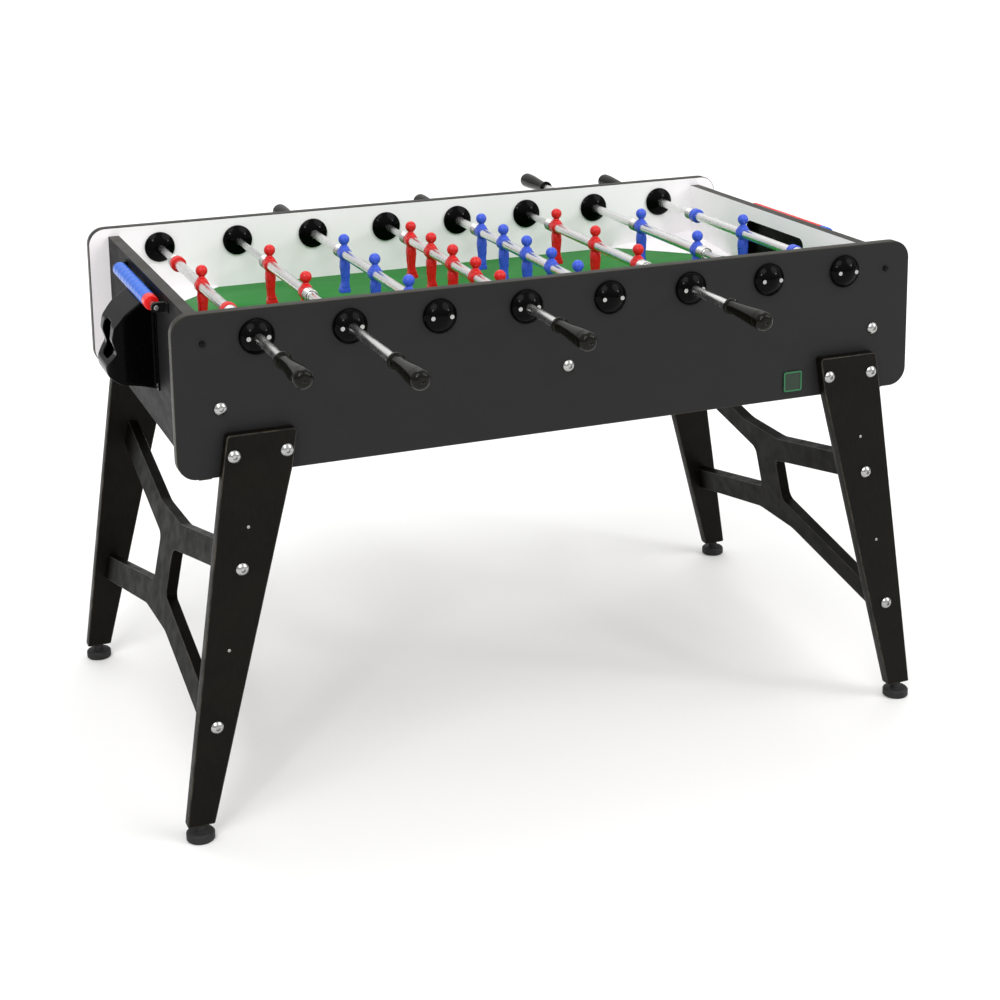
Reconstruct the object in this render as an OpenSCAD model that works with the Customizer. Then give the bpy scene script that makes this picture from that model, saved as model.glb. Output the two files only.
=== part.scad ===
// Foosball table with telescopic rods: 120 x 70 cm field, eight rods, two teams.
// X runs along the field, Y across it with the front side at -Y, Z up from the floor.

/* [Cabinet] */
// Height of the table to the top of its side panels
table_h = 857; // [800:1:1030]
// Clear length of the field between the end panels
field_len = 1200; // [1150:10:1440]
// Clear width of the field between the side panels
field_w = 700; // [660:5:840]
// Height of the long side panels
side_h = 263; // [245:1:315]
// Thickness of the long side panels
side_t = 20; // [16:1:25]
// Corner radius of the long side panels
side_corner = 32; // [10:1:50]
// How far the side panels run past the end panels at each end
side_past = 37.5; // [30:0.5:50]
// Thickness of the end panels
end_t = 20; // [18:1:25]
// How far the end panels' top lies below the side panels' top
end_drop = 16; // [10:1:22]
// How far the end panels reach below the side panels
end_below = 8; // [0:1:15]

/* [Field] */
// Depth of the playing surface below the side panels' top
field_depth = 133; // [128:1:150]
// Thickness of the playing board
field_t = 8; // [6:1:12]
// Length of each corner ramp along both of its walls
ramp_leg = 185; // [150:5:190]
// Height of a corner ramp in its corner
ramp_h = 20; // [12:1:30]
// Height of the battens under the playing board
batten_h = 24; // [20:1:30]
// Width of the battens under the playing board
batten_w = 22; // [20:1:30]

/* [Goals] */
// Width of the goal mouth
goal_w = 216; // [190:2:240]
// Height of the goal mouth above the playing surface
goal_h = 88; // [70:1:94]
// Corner radius of the goal mouth
goal_corner = 15; // [8:1:25]
// Depth of the goal recess in the end panel
goal_recess = 14; // [12:1:15]
// Gap in the playing board in front of each goal, which the ball drops through
goal_drop = 26; // [24:1:32]
// Depth of the ball chute below the playing surface at its side walls
chute_depth = 30; // [24:1:34]
// How much lower the chute floor is at its middle
chute_fall = 24; // [20:1:32]
// Wall of the ball chutes and of the ball cups
chute_wall = 3; // [2.5:0.5:4]
// Width of the hole that lets the ball out to the cup
outlet_w = 60; // [50:1:70]
// Height of the hole that lets the ball out to the cup
outlet_h = 40; // [38:1:44]

/* [Ball cups] */
// Width of a ball cup
cup_w = 124; // [110:2:140]
// Wall of a ball cup
cup_wall = 4; // [3:0.5:5]
// Thickness of the flange that screws a ball cup to the end panel
cup_flange_t = 3; // [2:0.5:4]
// Width of the mouth in a ball cup's front
cup_mouth_w = 64; // [56:2:88]
// Height of the mouth in a ball cup's front
cup_mouth_h = 62; // [48:1:66]

/* [Rods] */
// Height of the rod axes below the side panels' top
rod_depth = 44; // [38:1:46]
// Diameter of the tube that carries the men
tube_d = 18; // [17:0.1:21.6]
// Diameter of the shaft that leaves through the side panel
shaft_d = 16; // [15:0.5:16.5]
// Diameter of the inner telescopic rod
inner_d = 12.4; // [10:0.1:12.8]
// Running clearance of rods in their bores, on the radius
run_fit = 0.05; // [0.03:0.01:0.1]
// Length of inner rod that stays in the tube at full stroke
overlap = 90; // [60:5:120]
// Length of the spring sleeve at each end of the tube
spring_len = 24; // [6:1:28]
// Turns of a spring sleeve
spring_turns = 9; // [3:1:10]
// Thickness of the spring sleeves round the tube
spring_wall = 3; // [2:0.5:4]
// Running gap that is left at every stop of a rod
stop_gap = 1; // [0.5:0.5:3]

/* [Men] */
// Distance between the two men of a defence rod
defence_gap = 234; // [200:2:250]
// Distance between neighbouring men of an attack rod
attack_gap = 182; // [150:2:190]
// Distance between neighbouring men of a midfield rod
midfield_gap = 114; // [100:1:120]
// Distance from the goalkeeper to each of the stop collars on the same rod
collar_at = 190; // [150:2:200]
// Width of a stop collar
collar_w = 16; // [12:1:22]
// Diameter of a stop collar
collar_d = 28; // [25:1:34]
// Width of a man at the shoulders
man_w = 24; // [22:1:28]
// Height of a man's head above the rod axis
head_top = 37; // [34:0.5:38]
// Reach of a man's foot below the rod axis
foot_reach = 73; // [70:0.5:73]

/* [Handles] */
// Length of a handle
handle_len = 118; // [100:1:130]
// Largest diameter of a handle
handle_d = 31; // [28:0.5:34]
// Diameter of a handle's neck
handle_neck_d = 21; // [20:0.5:24]

/* [Bearings] */
// Diameter of the bearing flanges
flange_d = 57; // [52:1:60]
// Height of the outer flange's dome
outer_dome = 18.6; // [16:0.1:20]
// Height of the inner flange's dome
inner_dome = 14; // [12:0.5:16]
// Thickness of the flanges at their rim
rim_t = 4; // [3:0.5:6]
// Diameter of the bearing barrel in the side panel
barrel_d = 23; // [22:0.5:24]
// Distance of the two flange screws from the rod axis
flange_screw_at = 16; // [15.5:0.5:18]

/* [Legs] */
// Thickness of the leg boards
leg_t = 20; // [16:1:24]
// Width of a leg at its top
leg_top_w = 112; // [100:1:130]
// Width of a leg at its foot
leg_foot_w = 45; // [40:1:55]
// How far a leg laps up over the side panel
leg_lap = 71; // [60:1:80]
// Distance from the side panel's end to the leg's outer top corner
leg_inset = 75; // [60:1:110]
// Distance from the side panel's end to the middle of the foot
foot_inset = 6; // [0:1:40]
// How much further out along the table the back legs stand than the front ones
back_leg_out = 27; // [0:1:35]
// Outward step of the leg from its top edge to its knee
knee_step = 10; // [0:1:14]
// Height of the legs' lower ends above the floor
leg_clear = 26; // [22:1:32]

/* [End braces] */
// Height of the middle of the end braces above the floor
brace_z = 318; // [280:1:360]
// Thickness of the end braces
brace_t = 20; // [16:1:22]
// Distance of the brace bolts above and below the brace's middle
brace_bolt_at = 131; // [120:1:140]
// Height of a brace arm where it meets the leg
brace_arm = 45; // [38:1:52]
// Width of the brace's middle bar
brace_bar = 84; // [60:2:110]
// Distance from the brace's middle to its waist edge
brace_waist = 96; // [85:1:100]
// Distance from the brace's middle to the crotch between bar and arm
brace_crotch = 42; // [36:1:50]

/* [Feet] */
// Diameter of the levelling pads
pad_d = 46; // [40:1:54]
// Height of the levelling pads
pad_h = 15; // [12:1:18]
// Diameter of the levelling screws
stem_d = 10; // [8:1:10]
// Length of the levelling screws inside the legs
stem_len = 45; // [35:1:60]

/* [Score counters] */
// Distance between the two brackets of a score counter
counter_span = 330; // [320:2:480]
// Diameter of the counter rods
counter_rod_d = 8; // [6:0.5:10]
// Diameter of the score beads
bead_d = 25; // [22:0.5:28]
// Length of a score bead
bead_len = 25.2; // [20:0.2:26]
// Distance of the counter rods from the end panels
counter_off = 18; // [17:1:25]
// Height of the counter rods below the end panels' top
counter_drop = 17; // [10:1:22]
// Radius of a counter bracket's ear
bracket_r = 8; // [7:0.5:12]
// Width of a counter bracket
bracket_w = 9; // [6:1:14]

/* [Fixings] */
// Shank diameter of the dome-headed bolts
bolt_d = 8; // [6:1:10]
// Head diameter of the dome-headed bolts
bolt_head_d = 21; // [18:1:24]
// Head height of the dome-headed bolts
bolt_head_h = 7; // [5:0.5:9]
// Shank diameter of the small screws
screw_d = 3.6; // [3:0.2:4]
// Head diameter of the small screws
screw_head_d = 7.2; // [6:0.2:7.6]
// Clearance of a bolt or screw in its hole, on the radius
fix_fit = 0.1; // [0.05:0.05:0.3]
// Edge length of the badge
badge_w = 36; // [24:1:44]

/* [Hidden] */
$fn = 48;
KEEPER = 0;
DEFENCE = 1;
ATTACK = 2;
MIDFIELD = 3;
ROD_KIND = [KEEPER, DEFENCE, ATTACK, MIDFIELD, MIDFIELD, ATTACK, DEFENCE, KEEPER];
ROD_NAME = ["red_keeper", "red_defence", "blue_attack", "red_midfield",
            "blue_midfield", "red_attack", "blue_defence", "blue_keeper"];
// -1: handle at the front and red men, 1: handle at the back and blue men
ROD_SIDE = [-1, -1, 1, -1, 1, -1, 1, 1];
// where each rod rests between its stops, as a share of its travel towards +Y
ROD_REST = [-0.022, -0.039, -0.347, -0.395, -0.204, 0.112, 0.039, -0.101];
RODS = [0:7];
ENDS = [-1, 1];
CORNERS = [[-1, -1], [1, -1], [-1, 1], [1, 1]];
LEG_NAME = ["leg_front_left", "leg_front_right", "leg_back_left", "leg_back_right"];
FOOT_NAME = ["foot_front_left", "foot_front_right", "foot_back_left", "foot_back_right"];
BEADS = 10;

// heights
side_z = table_h - side_h;
end_top = table_h - end_drop;
end_z = side_z - end_below;
field_z = table_h - field_depth;
board_z = field_z - field_t;
rod_z = table_h - rod_depth;
leg_top = side_z + leg_lap;
knee_z = side_z + 8;
counter_z = end_top - counter_drop;

// places along X
side_len = field_len + 2 * (end_t + side_past);
end_in = field_len / 2;
end_out = end_in + end_t;
counter_x = end_out + counter_off;
rod_pitch = field_len / 8;
leg_out_x = side_len / 2 - leg_inset;
foot_x = side_len / 2 - foot_inset;
mid_knee_x = leg_out_x + knee_step - leg_top_w / 2;
leg_slope = (foot_x - mid_knee_x) / (knee_z - leg_clear);
leg_tilt = atan(leg_slope);

// places along Y
side_in = field_w / 2;
side_out = side_in + side_t;
leg_out = side_out + leg_t;

// bearings and rods
barrel_gap = 0.3;
flange_face = side_in - inner_dome;
dome_top = side_out + outer_dome;
collar_t = 4.4;
retainer_d = 17;
pocket_end = 4;
// height of the screw seats in the outer flanges
screw_seat = 12.5;
neck_gap = 16;
shaft_in_handle = 88;

// goals and cups
chute_base = board_z - chute_depth - chute_fall;
outlet_z = chute_base + chute_wall + 2;
lining_gap = 0.3;
cup_reach = 83;
cup_h = 154;
// the ball cups start just under the score beads
cup_z = counter_z - bead_d / 2 - 1.5;
flange_ear = 14;
screw_in = 14;
// cup screws stop short of the goal recess
cup_screw_in = end_t - goal_recess - 1;
leg_bolt_in = 10;
leg_bolt_apart = 84;
leg_bolt_down = 34;
brace_bolt_in = 41;
brace_spare = 4;
nut_h = 6.5;
nut_w = 15;
batten_bolt_z = board_z - batten_h / 2;
corner_screw_z = table_h - 47;

// ---- rods: where things are ----

function rod_x(i) = (i - 3.5) * rod_pitch;

// the men's places along a rod, from the rod's own middle
function men_at(kind) =
    kind == KEEPER ? [0] :
    kind == DEFENCE ? [-defence_gap / 2, defence_gap / 2] :
    kind == ATTACK ? [-attack_gap, 0, attack_gap] :
    [for (k = [-2:2]) k * midfield_gap];

// half the length of what sits on the tube, springs included
function tube_half(kind) =
    spring_len + (kind == KEEPER ? collar_at + collar_w / 2 : max(men_at(kind)) + man_w / 2);

// how far a rod slides each way from the middle of the table
function travel(kind) = flange_face - stop_gap - tube_half(kind);

function rod_rest(i) = ROD_REST[i] * travel(ROD_KIND[i]);
function neck_at(kind) = dome_top + neck_gap + travel(kind);
function inner_tip(kind) = tube_half(kind) - travel(kind) - overlap;

// puts a rod's children in place; they are drawn with the handle towards -Y
module on_rod(i, offset) {
    translate([rod_x(i), 0, rod_z])
        rotate([0, 0, ROD_SIDE[i] < 0 ? 0 : 180])
            translate([0, -ROD_SIDE[i] * offset, 0])
                children();
}

// a cylinder along Y from y0 to y1
module bar_y(d, y0, y1) {
    translate([0, y1, 0])
        rotate([90, 0, 0])
            cylinder(d = d, h = y1 - y0);
}

module inner_rod(i) {
    kind = ROD_KIND[i];
    color("gainsboro")
        on_rod(i, 0) {
            bar_y(inner_d, inner_tip(kind), side_out - pocket_end);
            bar_y(retainer_d, side_in + barrel_gap, side_in + barrel_gap + collar_t);
        }
}

module tube(i) {
    kind = ROD_KIND[i];
    half = tube_half(kind);
    bore_d = inner_d + 2 * run_fit;
    color("silver")
        on_rod(i, rod_rest(i)) {
            difference() {
                union() {
                    bar_y(tube_d, -half, half);
                    bar_y(shaft_d, -neck_at(kind) - shaft_in_handle, -half);
                }
                bar_y(bore_d, inner_tip(kind) - travel(kind) - 6, half + 1);
            }
            for (s = ENDS)
                spring_sleeve(s * (half - spring_len / 2));
        }
}

// a closed coil spring as one sleeve with rounded turns
module spring_sleeve(y) {
    spring_d = tube_d + 2 * spring_wall;
    wire = spring_len / spring_turns;
    translate([0, y + spring_len / 2, 0])
        rotate([90, 0, 0])
            difference() {
                union() {
                    cylinder(d = tube_d + spring_wall, h = spring_len);
                    for (k = [0:spring_turns - 1])
                        translate([0, 0, wire * (k + 0.1)])
                            cylinder(d = spring_d, h = wire * 0.8);
                }
                translate([0, 0, -1])
                    cylinder(d = tube_d + 2 * run_fit, h = spring_len + 2);
            }
}

// ---- men ----

// half the width of a man, seen from the front, from the neck down
function front_half() = [
    [4.5, 20], [4.5, 15], [man_w / 2, 11], [man_w / 2, 2], [8.5, -14], [9.5, -24],
    [6.5, -46], [9.5, -60], [9.5, -foot_reach]];

module man_front() {
    half = front_half();
    polygon(concat(half, [for (k = [len(half) - 1:-1:0]) [-half[k][0], half[k][1]]]));
}

module man_side() {
    polygon([[5, 20], [6, 12], [11, 4], [11, -4], [9, -14], [8, -30], [7, -48],
             [8.5, -60], [11, -66], [11, -foot_reach],
             [-9, -foot_reach], [-7.5, -60], [-7, -48], [-8, -30], [-9, -14], [-11, -4],
             [-11, 4], [-6, 12], [-5, 20]]);
}

module man(y) {
    head_r = 10.5;
    boss_d = tube_d + 7;
    boss_w = 20;
    translate([0, y, 0])
        difference() {
            union() {
                intersection() {
                    rotate([90, 0, 90])
                        linear_extrude(40, center = true)
                            man_front();
                    rotate([90, 0, 0])
                        linear_extrude(40, center = true)
                            man_side();
                }
                bar_y(boss_d, -boss_w / 2, boss_w / 2);
                translate([0, 0, head_top - head_r])
                    sphere(head_r);
            }
            bar_y(tube_d + 2 * run_fit, -man_w, man_w);
        }
}

module stop_collar(y) {
    translate([0, y, 0])
        difference() {
            bar_y(collar_d, -collar_w / 2, collar_w / 2);
            bar_y(tube_d + 2 * run_fit, -collar_w, collar_w);
        }
}

module men(i) {
    kind = ROD_KIND[i];
    color(ROD_SIDE[i] < 0 ? "red" : "royalblue")
        on_rod(i, rod_rest(i)) {
            for (y = men_at(kind))
                man(y);
            if (kind == KEEPER)
                for (s = ENDS)
                    stop_collar(s * collar_at);
        }
}

module handle(i) {
    kind = ROD_KIND[i];
    neck_r = handle_neck_d / 2;
    big_r = handle_d / 2;
    end_r = 11;
    round_at = handle_len - end_r;
    arc = [for (a = [0:10:90]) [big_r - end_r + end_r * cos(a), round_at + end_r * sin(a)]];
    outline = concat(
        [[0, 0], [neck_r + 2, 0], [neck_r + 3.5, 1.5], [neck_r + 3.5, 5], [neck_r, 8],
         [neck_r, 16], [neck_r + 1.5, 40], [big_r - 0.8, 80], [big_r, 95]],
        arc, [[0, handle_len]]);
    color("black")
        on_rod(i, rod_rest(i))
            translate([0, -neck_at(kind), 0])
                rotate([90, 0, 0])
                    difference() {
                        rotate_extrude()
                            polygon(outline);
                        translate([0, 0, -1])
                            cylinder(d = shaft_d + 2 * run_fit, h = shaft_in_handle + 1.5);
                    }
}

// ---- bearings ----

// a flat-backed dome on the XY plane, rim_t thick at its edge
module dome(d, h) {
    sag = h - rim_t;
    ball_r = (d * d / 4 + sag * sag) / (2 * sag);
    intersection() {
        cylinder(d = d, h = h);
        translate([0, 0, h - ball_r])
            sphere(ball_r, $fn = 96);
    }
}

// one rod's half bearings at side s: outer half with its barrel, and inner half
module bearing(i, s) {
    open = s == ROD_SIDE[i];
    bore_d = (open ? shaft_d : inner_d) + 2 * run_fit;
    translate([rod_x(i), s * side_out, rod_z])
        rotate([s < 0 ? 90 : -90, 0, 0]) {
            difference() {
                union() {
                    dome(flange_d, outer_dome);
                    translate([0, 0, -side_t])
                        cylinder(d = barrel_d, h = side_t + 1);
                }
                translate([0, 0, -side_t - 1])
                    cylinder(d = bore_d, h = open ? side_t + outer_dome + 2 : side_t + 1);
                if (!open)
                    translate([0, 0, -side_t - 1])
                        cylinder(d = retainer_d + 2 * barrel_gap, h = 1 + collar_t + 2 * barrel_gap);
                for (k = ENDS)
                    translate([k * flange_screw_at, 0, 0]) {
                        translate([0, 0, -1])
                            cylinder(d = screw_d + 2 * fix_fit, h = outer_dome);
                        translate([0, 0, screw_seat])
                            cylinder(d = screw_head_d + 2 * fix_fit, h = outer_dome);
                    }
            }
            translate([0, 0, -side_t])
                mirror([0, 0, 1])
                    difference() {
                        dome(flange_d, inner_dome);
                        translate([0, 0, -1])
                            cylinder(d = bore_d, h = inner_dome + 2);
                    }
        }
}

module rod_bearings() {
    color("black")
        for (i = RODS)
            for (s = ENDS)
                bearing(i, s);
}

// holes for the bearings, bolts and screws of the side panel at side s
module side_panel_holes(s) {
    deep = side_t + 2;
    translate([0, s * (side_out + 1), 0])
        rotate([s < 0 ? -90 : 90, 0, 0])
            for (i = RODS)
                translate([rod_x(i), s * rod_z, 0]) {
                    cylinder(d = barrel_d + 2 * barrel_gap, h = deep);
                    for (k = ENDS)
                        translate([k * flange_screw_at, 0, 0])
                            cylinder(d = screw_d + 2 * fix_fit, h = 1 + screw_in);
                }
    for (p = panel_bolts())
        drill(p, s, bolt_d);
    for (p = leg_top_bolts(s))
        drill(p, s, bolt_d);
    for (p = corner_screws())
        drill(p, s, screw_d);
}

// a clearance hole along Y through one side, at [x, z]
module drill(p, s, d) {
    translate([p[0], 0, p[1]])
        bar_y(d + 2 * fix_fit, s < 0 ? -leg_out - 1 : side_in - 30, s < 0 ? -side_in + 30 : leg_out + 1);
}

// ---- cabinet ----

batten_x = end_in - 3 - batten_w / 2;

function panel_bolts() = [for (x = [-batten_x, 0, batten_x]) [x, batten_bolt_z]];
function corner_screws() = [for (s = ENDS) [s * (end_in + end_t / 2), corner_screw_z]];
// how much further out the legs of side s stand than the front ones
function leg_shift(s) = s > 0 ? back_leg_out : 0;
// bolts through the top of side s's legs, [x, z]; their nuts stay clear of the end panels
function leg_top_bolts(s) =
    let (outer = leg_out_x + leg_shift(s) - leg_bolt_in)
    [for (e = ENDS) for (x = [min(outer, end_in - nut_w), outer - leg_bolt_apart])
        [e * x, leg_top - leg_bolt_down]];

module rounded_plate(w, h, r) {
    square([w - 2 * r, h], center = true);
    square([w, h - 2 * r], center = true);
    for (c = CORNERS)
        translate([c[0] * (w / 2 - r), c[1] * (h / 2 - r)])
            circle(r);
}

module side_panel(s) {
    color("#2f2f31")
        difference() {
            translate([0, s * (side_in + side_t / 2), side_z + side_h / 2])
                rotate([90, 0, 0])
                    linear_extrude(side_t, center = true)
                        rounded_plate(side_len, side_h, side_corner);
            side_panel_holes(s);
        }
}

// the goal mouth in the YZ plane, with round upper corners and a square lower edge at z0
module mouth_outline(z0, inset = 0) {
    w = goal_w - 2 * inset;
    top = field_z + goal_h - inset;
    r = goal_corner - inset;
    translate([-w / 2, z0])
        square([w, top - r - z0]);
    translate([-w / 2 + r, z0])
        square([w - 2 * r, top - z0]);
    for (k = ENDS)
        translate([k * (w / 2 - r), top - r])
            circle(r);
}

// draws children() of the YZ plane as a block from x0 to x1 at the right-hand end
module block_x(x0, x1) {
    translate([x0, 0, 0])
        rotate([90, 0, 90])
            linear_extrude(x1 - x0)
                children();
}

module end_panel(e) {
    color("#343436")
        mirror([e < 0 ? 1 : 0, 0, 0])
            difference() {
                translate([end_in, -side_in, end_z])
                    cube([end_t, field_w, end_top - end_z]);
                block_x(end_in - 1, end_in + goal_recess)
                    mouth_outline(chute_base - lining_gap);
                translate([end_in, -outlet_w / 2, outlet_z])
                    cube([end_t + 1, outlet_w, outlet_h]);
                for (s = ENDS)
                    translate([end_in + end_t / 2, 0, corner_screw_z])
                        bar_y(screw_d + 2 * fix_fit, s < 0 ? -side_in - 1 : side_in - 31,
                              s < 0 ? -side_in + 31 : side_in + 1);
                for (p = cup_screws())
                    translate([end_out - cup_screw_in - 0.5, p[0], p[1]])
                        rotate([0, 90, 0])
                            cylinder(d = screw_d + 2 * fix_fit, h = screw_in);
            }
}

module playfield() {
    color("green")
        difference() {
            translate([-end_in, -side_in, board_z])
                cube([field_len, field_w, field_t]);
            for (e = ENDS)
                translate([e * end_in, 0, board_z])
                    cube([2 * goal_drop, goal_w, 3 * field_t], center = true);
        }
}

module corner_ramp() {
    slope = atan(ramp_h / (ramp_leg / sqrt(2)));
    translate([end_in, side_in, field_z])
        difference() {
            linear_extrude(ramp_h)
                polygon([[0, 0], [-ramp_leg, 0], [0, -ramp_leg]]);
            rotate([0, 0, 45])
                translate([-ramp_leg / sqrt(2), 0, 0.6])
                    rotate([0, -slope, 0])
                        translate([-ramp_leg, -ramp_leg, 0])
                            cube([3 * ramp_leg, 2 * ramp_leg, 3 * ramp_h]);
        }
}

module corner_ramps() {
    color("white")
        for (c = CORNERS)
            mirror([c[0] < 0 ? 1 : 0, 0, 0])
                mirror([0, c[1] < 0 ? 1 : 0, 0])
                    corner_ramp();
}

module field_battens() {
    chute_side = goal_w / 2 + 8;
    color("burlywood")
        difference() {
            union() {
                translate([-batten_w / 2, -side_in, board_z - batten_h])
                    cube([batten_w, field_w, batten_h]);
                for (c = CORNERS)
                    translate([c[0] * batten_x - batten_w / 2,
                               c[1] > 0 ? chute_side : -side_in, board_z - batten_h])
                        cube([batten_w, side_in - chute_side, batten_h]);
            }
            for (s = ENDS)
                for (p = panel_bolts())
                    drill(p, s, bolt_d);
        }
}

// an open trough under each goal with a black lining behind the mouth
module goal_chute() {
    in_x = end_in - goal_drop;
    back_x = end_in + goal_recess - lining_gap;
    half = goal_w / 2 - lining_gap;
    floor_z = chute_base + chute_wall;
    difference() {
        union() {
            block_x(end_in, back_x)
                mouth_outline(chute_base, lining_gap);
            translate([in_x, -half, chute_base])
                cube([goal_drop, 2 * half, board_z - chute_base]);
        }
        // the ball's way: a shaft whose floor falls to the middle
        block_x(in_x + chute_wall, back_x - 1.5)
            polygon([[-half + chute_wall, field_z + goal_h], [-half + chute_wall, floor_z + chute_fall],
                     [-outlet_w / 2, floor_z], [outlet_w / 2, floor_z],
                     [half - chute_wall, floor_z + chute_fall], [half - chute_wall, field_z + goal_h]]);
        translate([back_x - 5, -outlet_w / 2, outlet_z])
            cube([10, outlet_w, outlet_h]);
        // above the board, the lining's side returns stay and its front is open
        translate([in_x - 1, -half - 1, board_z])
            cube([goal_drop + 1, 2 * half + 2, goal_h + 2 * field_t]);
    }
}

module goal_chutes() {
    color("#111111")
        for (e = ENDS)
            mirror([e < 0 ? 1 : 0, 0, 0])
                goal_chute();
}

// ---- ball cups ----

// side profile [distance from the end panel, height below the cup's top], hood above bowl
function cup_side(inset) = [
    [0, -inset], [22, -inset], [50 - inset, -20 - inset], [69 - inset, -44], [73 - inset, -64],
    [66 - inset, -87], [83 - inset, -111], [80 - inset, -128], [62 - inset, -140 + inset],
    [28, -146 + inset], [0, -cup_h + inset]];
CUP_ROUND = [0, 10, 16, 14, 12, 8, 11, 11, 14, 20, 0];

function cup_screws() = [for (y = ENDS) for (z = [8, cup_h - 10])
    [y * (cup_w + flange_ear) / 2, cup_z - z]];

// an outline whose corners are arcs of the given radii
function rounded(pts, radii, steps = 5) = [
    for (i = [0:len(pts) - 1])
        let (p = pts[i],
             a = pts[(i + len(pts) - 1) % len(pts)],
             b = pts[(i + 1) % len(pts)],
             u = (a - p) / norm(a - p),
             v = (b - p) / norm(b - p),
             half = acos(u * v) / 2,
             r = radii[i],
             c = p + (u + v) / norm(u + v) * r / sin(half),
             s = p + u * r / tan(half) - c,
             e = p + v * r / tan(half) - c,
             a0 = atan2(s[1], s[0]),
             sweep = (atan2(e[1], e[0]) - a0 + 540) % 360 - 180)
            for (k = [0:(r > 0 ? steps : 0)])
                r > 0 ? c + r * [cos(a0 + sweep * k / steps), sin(a0 + sweep * k / steps)] : p];

module cup_body(inset, w) {
    reach = cup_reach - inset;
    front_r = 30 - inset;
    intersection() {
        rotate([90, 0, 0])
            linear_extrude(w, center = true)
                polygon(rounded(cup_side(inset), CUP_ROUND));
        translate([0, 0, -200])
            linear_extrude(220)
                union() {
                    translate([-1, -w / 2])
                        square([reach - front_r + 1, w]);
                    translate([0, -w / 2 + front_r])
                        square([reach, w - 2 * front_r]);
                    for (k = ENDS)
                        translate([reach - front_r, k * (w / 2 - front_r)])
                            circle(front_r);
                }
    }
}

module ball_cup() {
    mouth_z = -72;
    translate([end_out, 0, cup_z])
        difference() {
            union() {
                cup_body(0, cup_w);
                translate([0, -cup_w / 2 - flange_ear, -cup_h])
                    cube([cup_flange_t, cup_w + 2 * flange_ear, cup_h]);
            }
            difference() {
                cup_body(cup_wall, cup_w - 2 * cup_wall);
                translate([-1, -cup_w, -200])
                    cube([cup_flange_t + 1, 2 * cup_w, 220]);
            }
            translate([-1, -outlet_w / 2, outlet_z - cup_z])
                cube([cup_flange_t + 2, outlet_w, outlet_h]);
            translate([cup_reach - 50, 0, mouth_z])
                rotate([90, 0, 90])
                    linear_extrude(60)
                        rounded_plate(cup_mouth_w, cup_mouth_h, 20);
            for (p = cup_screws())
                translate([-1, p[0], p[1] - cup_z])
                    rotate([0, 90, 0])
                        cylinder(d = screw_d + 2 * fix_fit, h = cup_flange_t + 2);
        }
}

module ball_cups() {
    color("black")
        for (e = ENDS)
            mirror([e < 0 ? 1 : 0, 0, 0])
                ball_cup();
}

// ---- legs, feet and braces; drawn at the back right and mirrored ----

module at_corner(c) {
    mirror([c[0] < 0 ? 1 : 0, 0, 0])
        mirror([0, c[1] < 0 ? 1 : 0, 0])
            children();
}

// middle of the leg board at height z, below the knee
function leg_mid(z) = mid_knee_x + (knee_z - z) * leg_slope;
// bolt places on the middle line of side s's legs, [x, z]
function brace_bolts(s) = [for (k = ENDS)
    let (z = brace_z + k * brace_bolt_at * cos(leg_tilt)) [leg_mid(z) + leg_shift(s), z]];

module leg(c) {
    inner_x = leg_out_x - leg_top_w;
    outline = [
        [inner_x, leg_top], [leg_out_x, leg_top], [leg_out_x + knee_step, knee_z],
        [foot_x + leg_foot_w / 2, leg_clear], [foot_x - leg_foot_w / 2, leg_clear],
        [inner_x + knee_step, knee_z]];
    color("#1b1a16")
        at_corner(c)
            difference() {
                translate([leg_shift(c[1]), leg_out, 0])
                    rotate([90, 0, 0])
                        linear_extrude(leg_t)
                            polygon(rounded(outline, [6, 6, 60, 3, 3, 60]));
                for (p = concat(leg_top_bolts(c[1]), brace_bolts(c[1])))
                    drill(p, 1, bolt_d);
                translate([foot_x + leg_shift(c[1]), side_out + leg_t / 2, leg_clear - 1])
                    cylinder(d = stem_d + 2 * fix_fit, h = stem_len + 3);
            }
}

module foot(c) {
    rim = 3;
    boss_r = 9;
    under_leg = leg_clear - 0.3;
    color("black")
        at_corner(c)
            translate([foot_x + leg_shift(c[1]), side_out + leg_t / 2, 0]) {
                rotate_extrude()
                    polygon([[0, 0], [pad_d / 2 - 2, 0], [pad_d / 2, 2], [pad_d / 2, pad_h - rim],
                             [pad_d / 2 - rim, pad_h], [boss_r, pad_h], [boss_r, under_leg],
                             [0, under_leg]]);
                translate([0, 0, pad_h])
                    cylinder(d = stem_d, h = leg_clear + stem_len - pad_h);
            }
}

// outline of an H-shaped brace: Y across the table, second value up the leg plane
function brace_quarter() = [
    [brace_waist * 0.7, brace_waist],
    [side_out + brace_spare, brace_bolt_at + brace_arm / 2 + 6],
    [side_out + brace_spare, brace_bolt_at - brace_arm / 2 + 6],
    [brace_bar / 2, brace_crotch]];
BRACE_ROUND = [110, 0, 0, 16];

function flip(pts, sx, sy) = [for (p = pts) [sx * p[0], sy * p[1]]];
function reversed(v) = [for (k = [len(v) - 1:-1:0]) v[k]];

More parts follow.
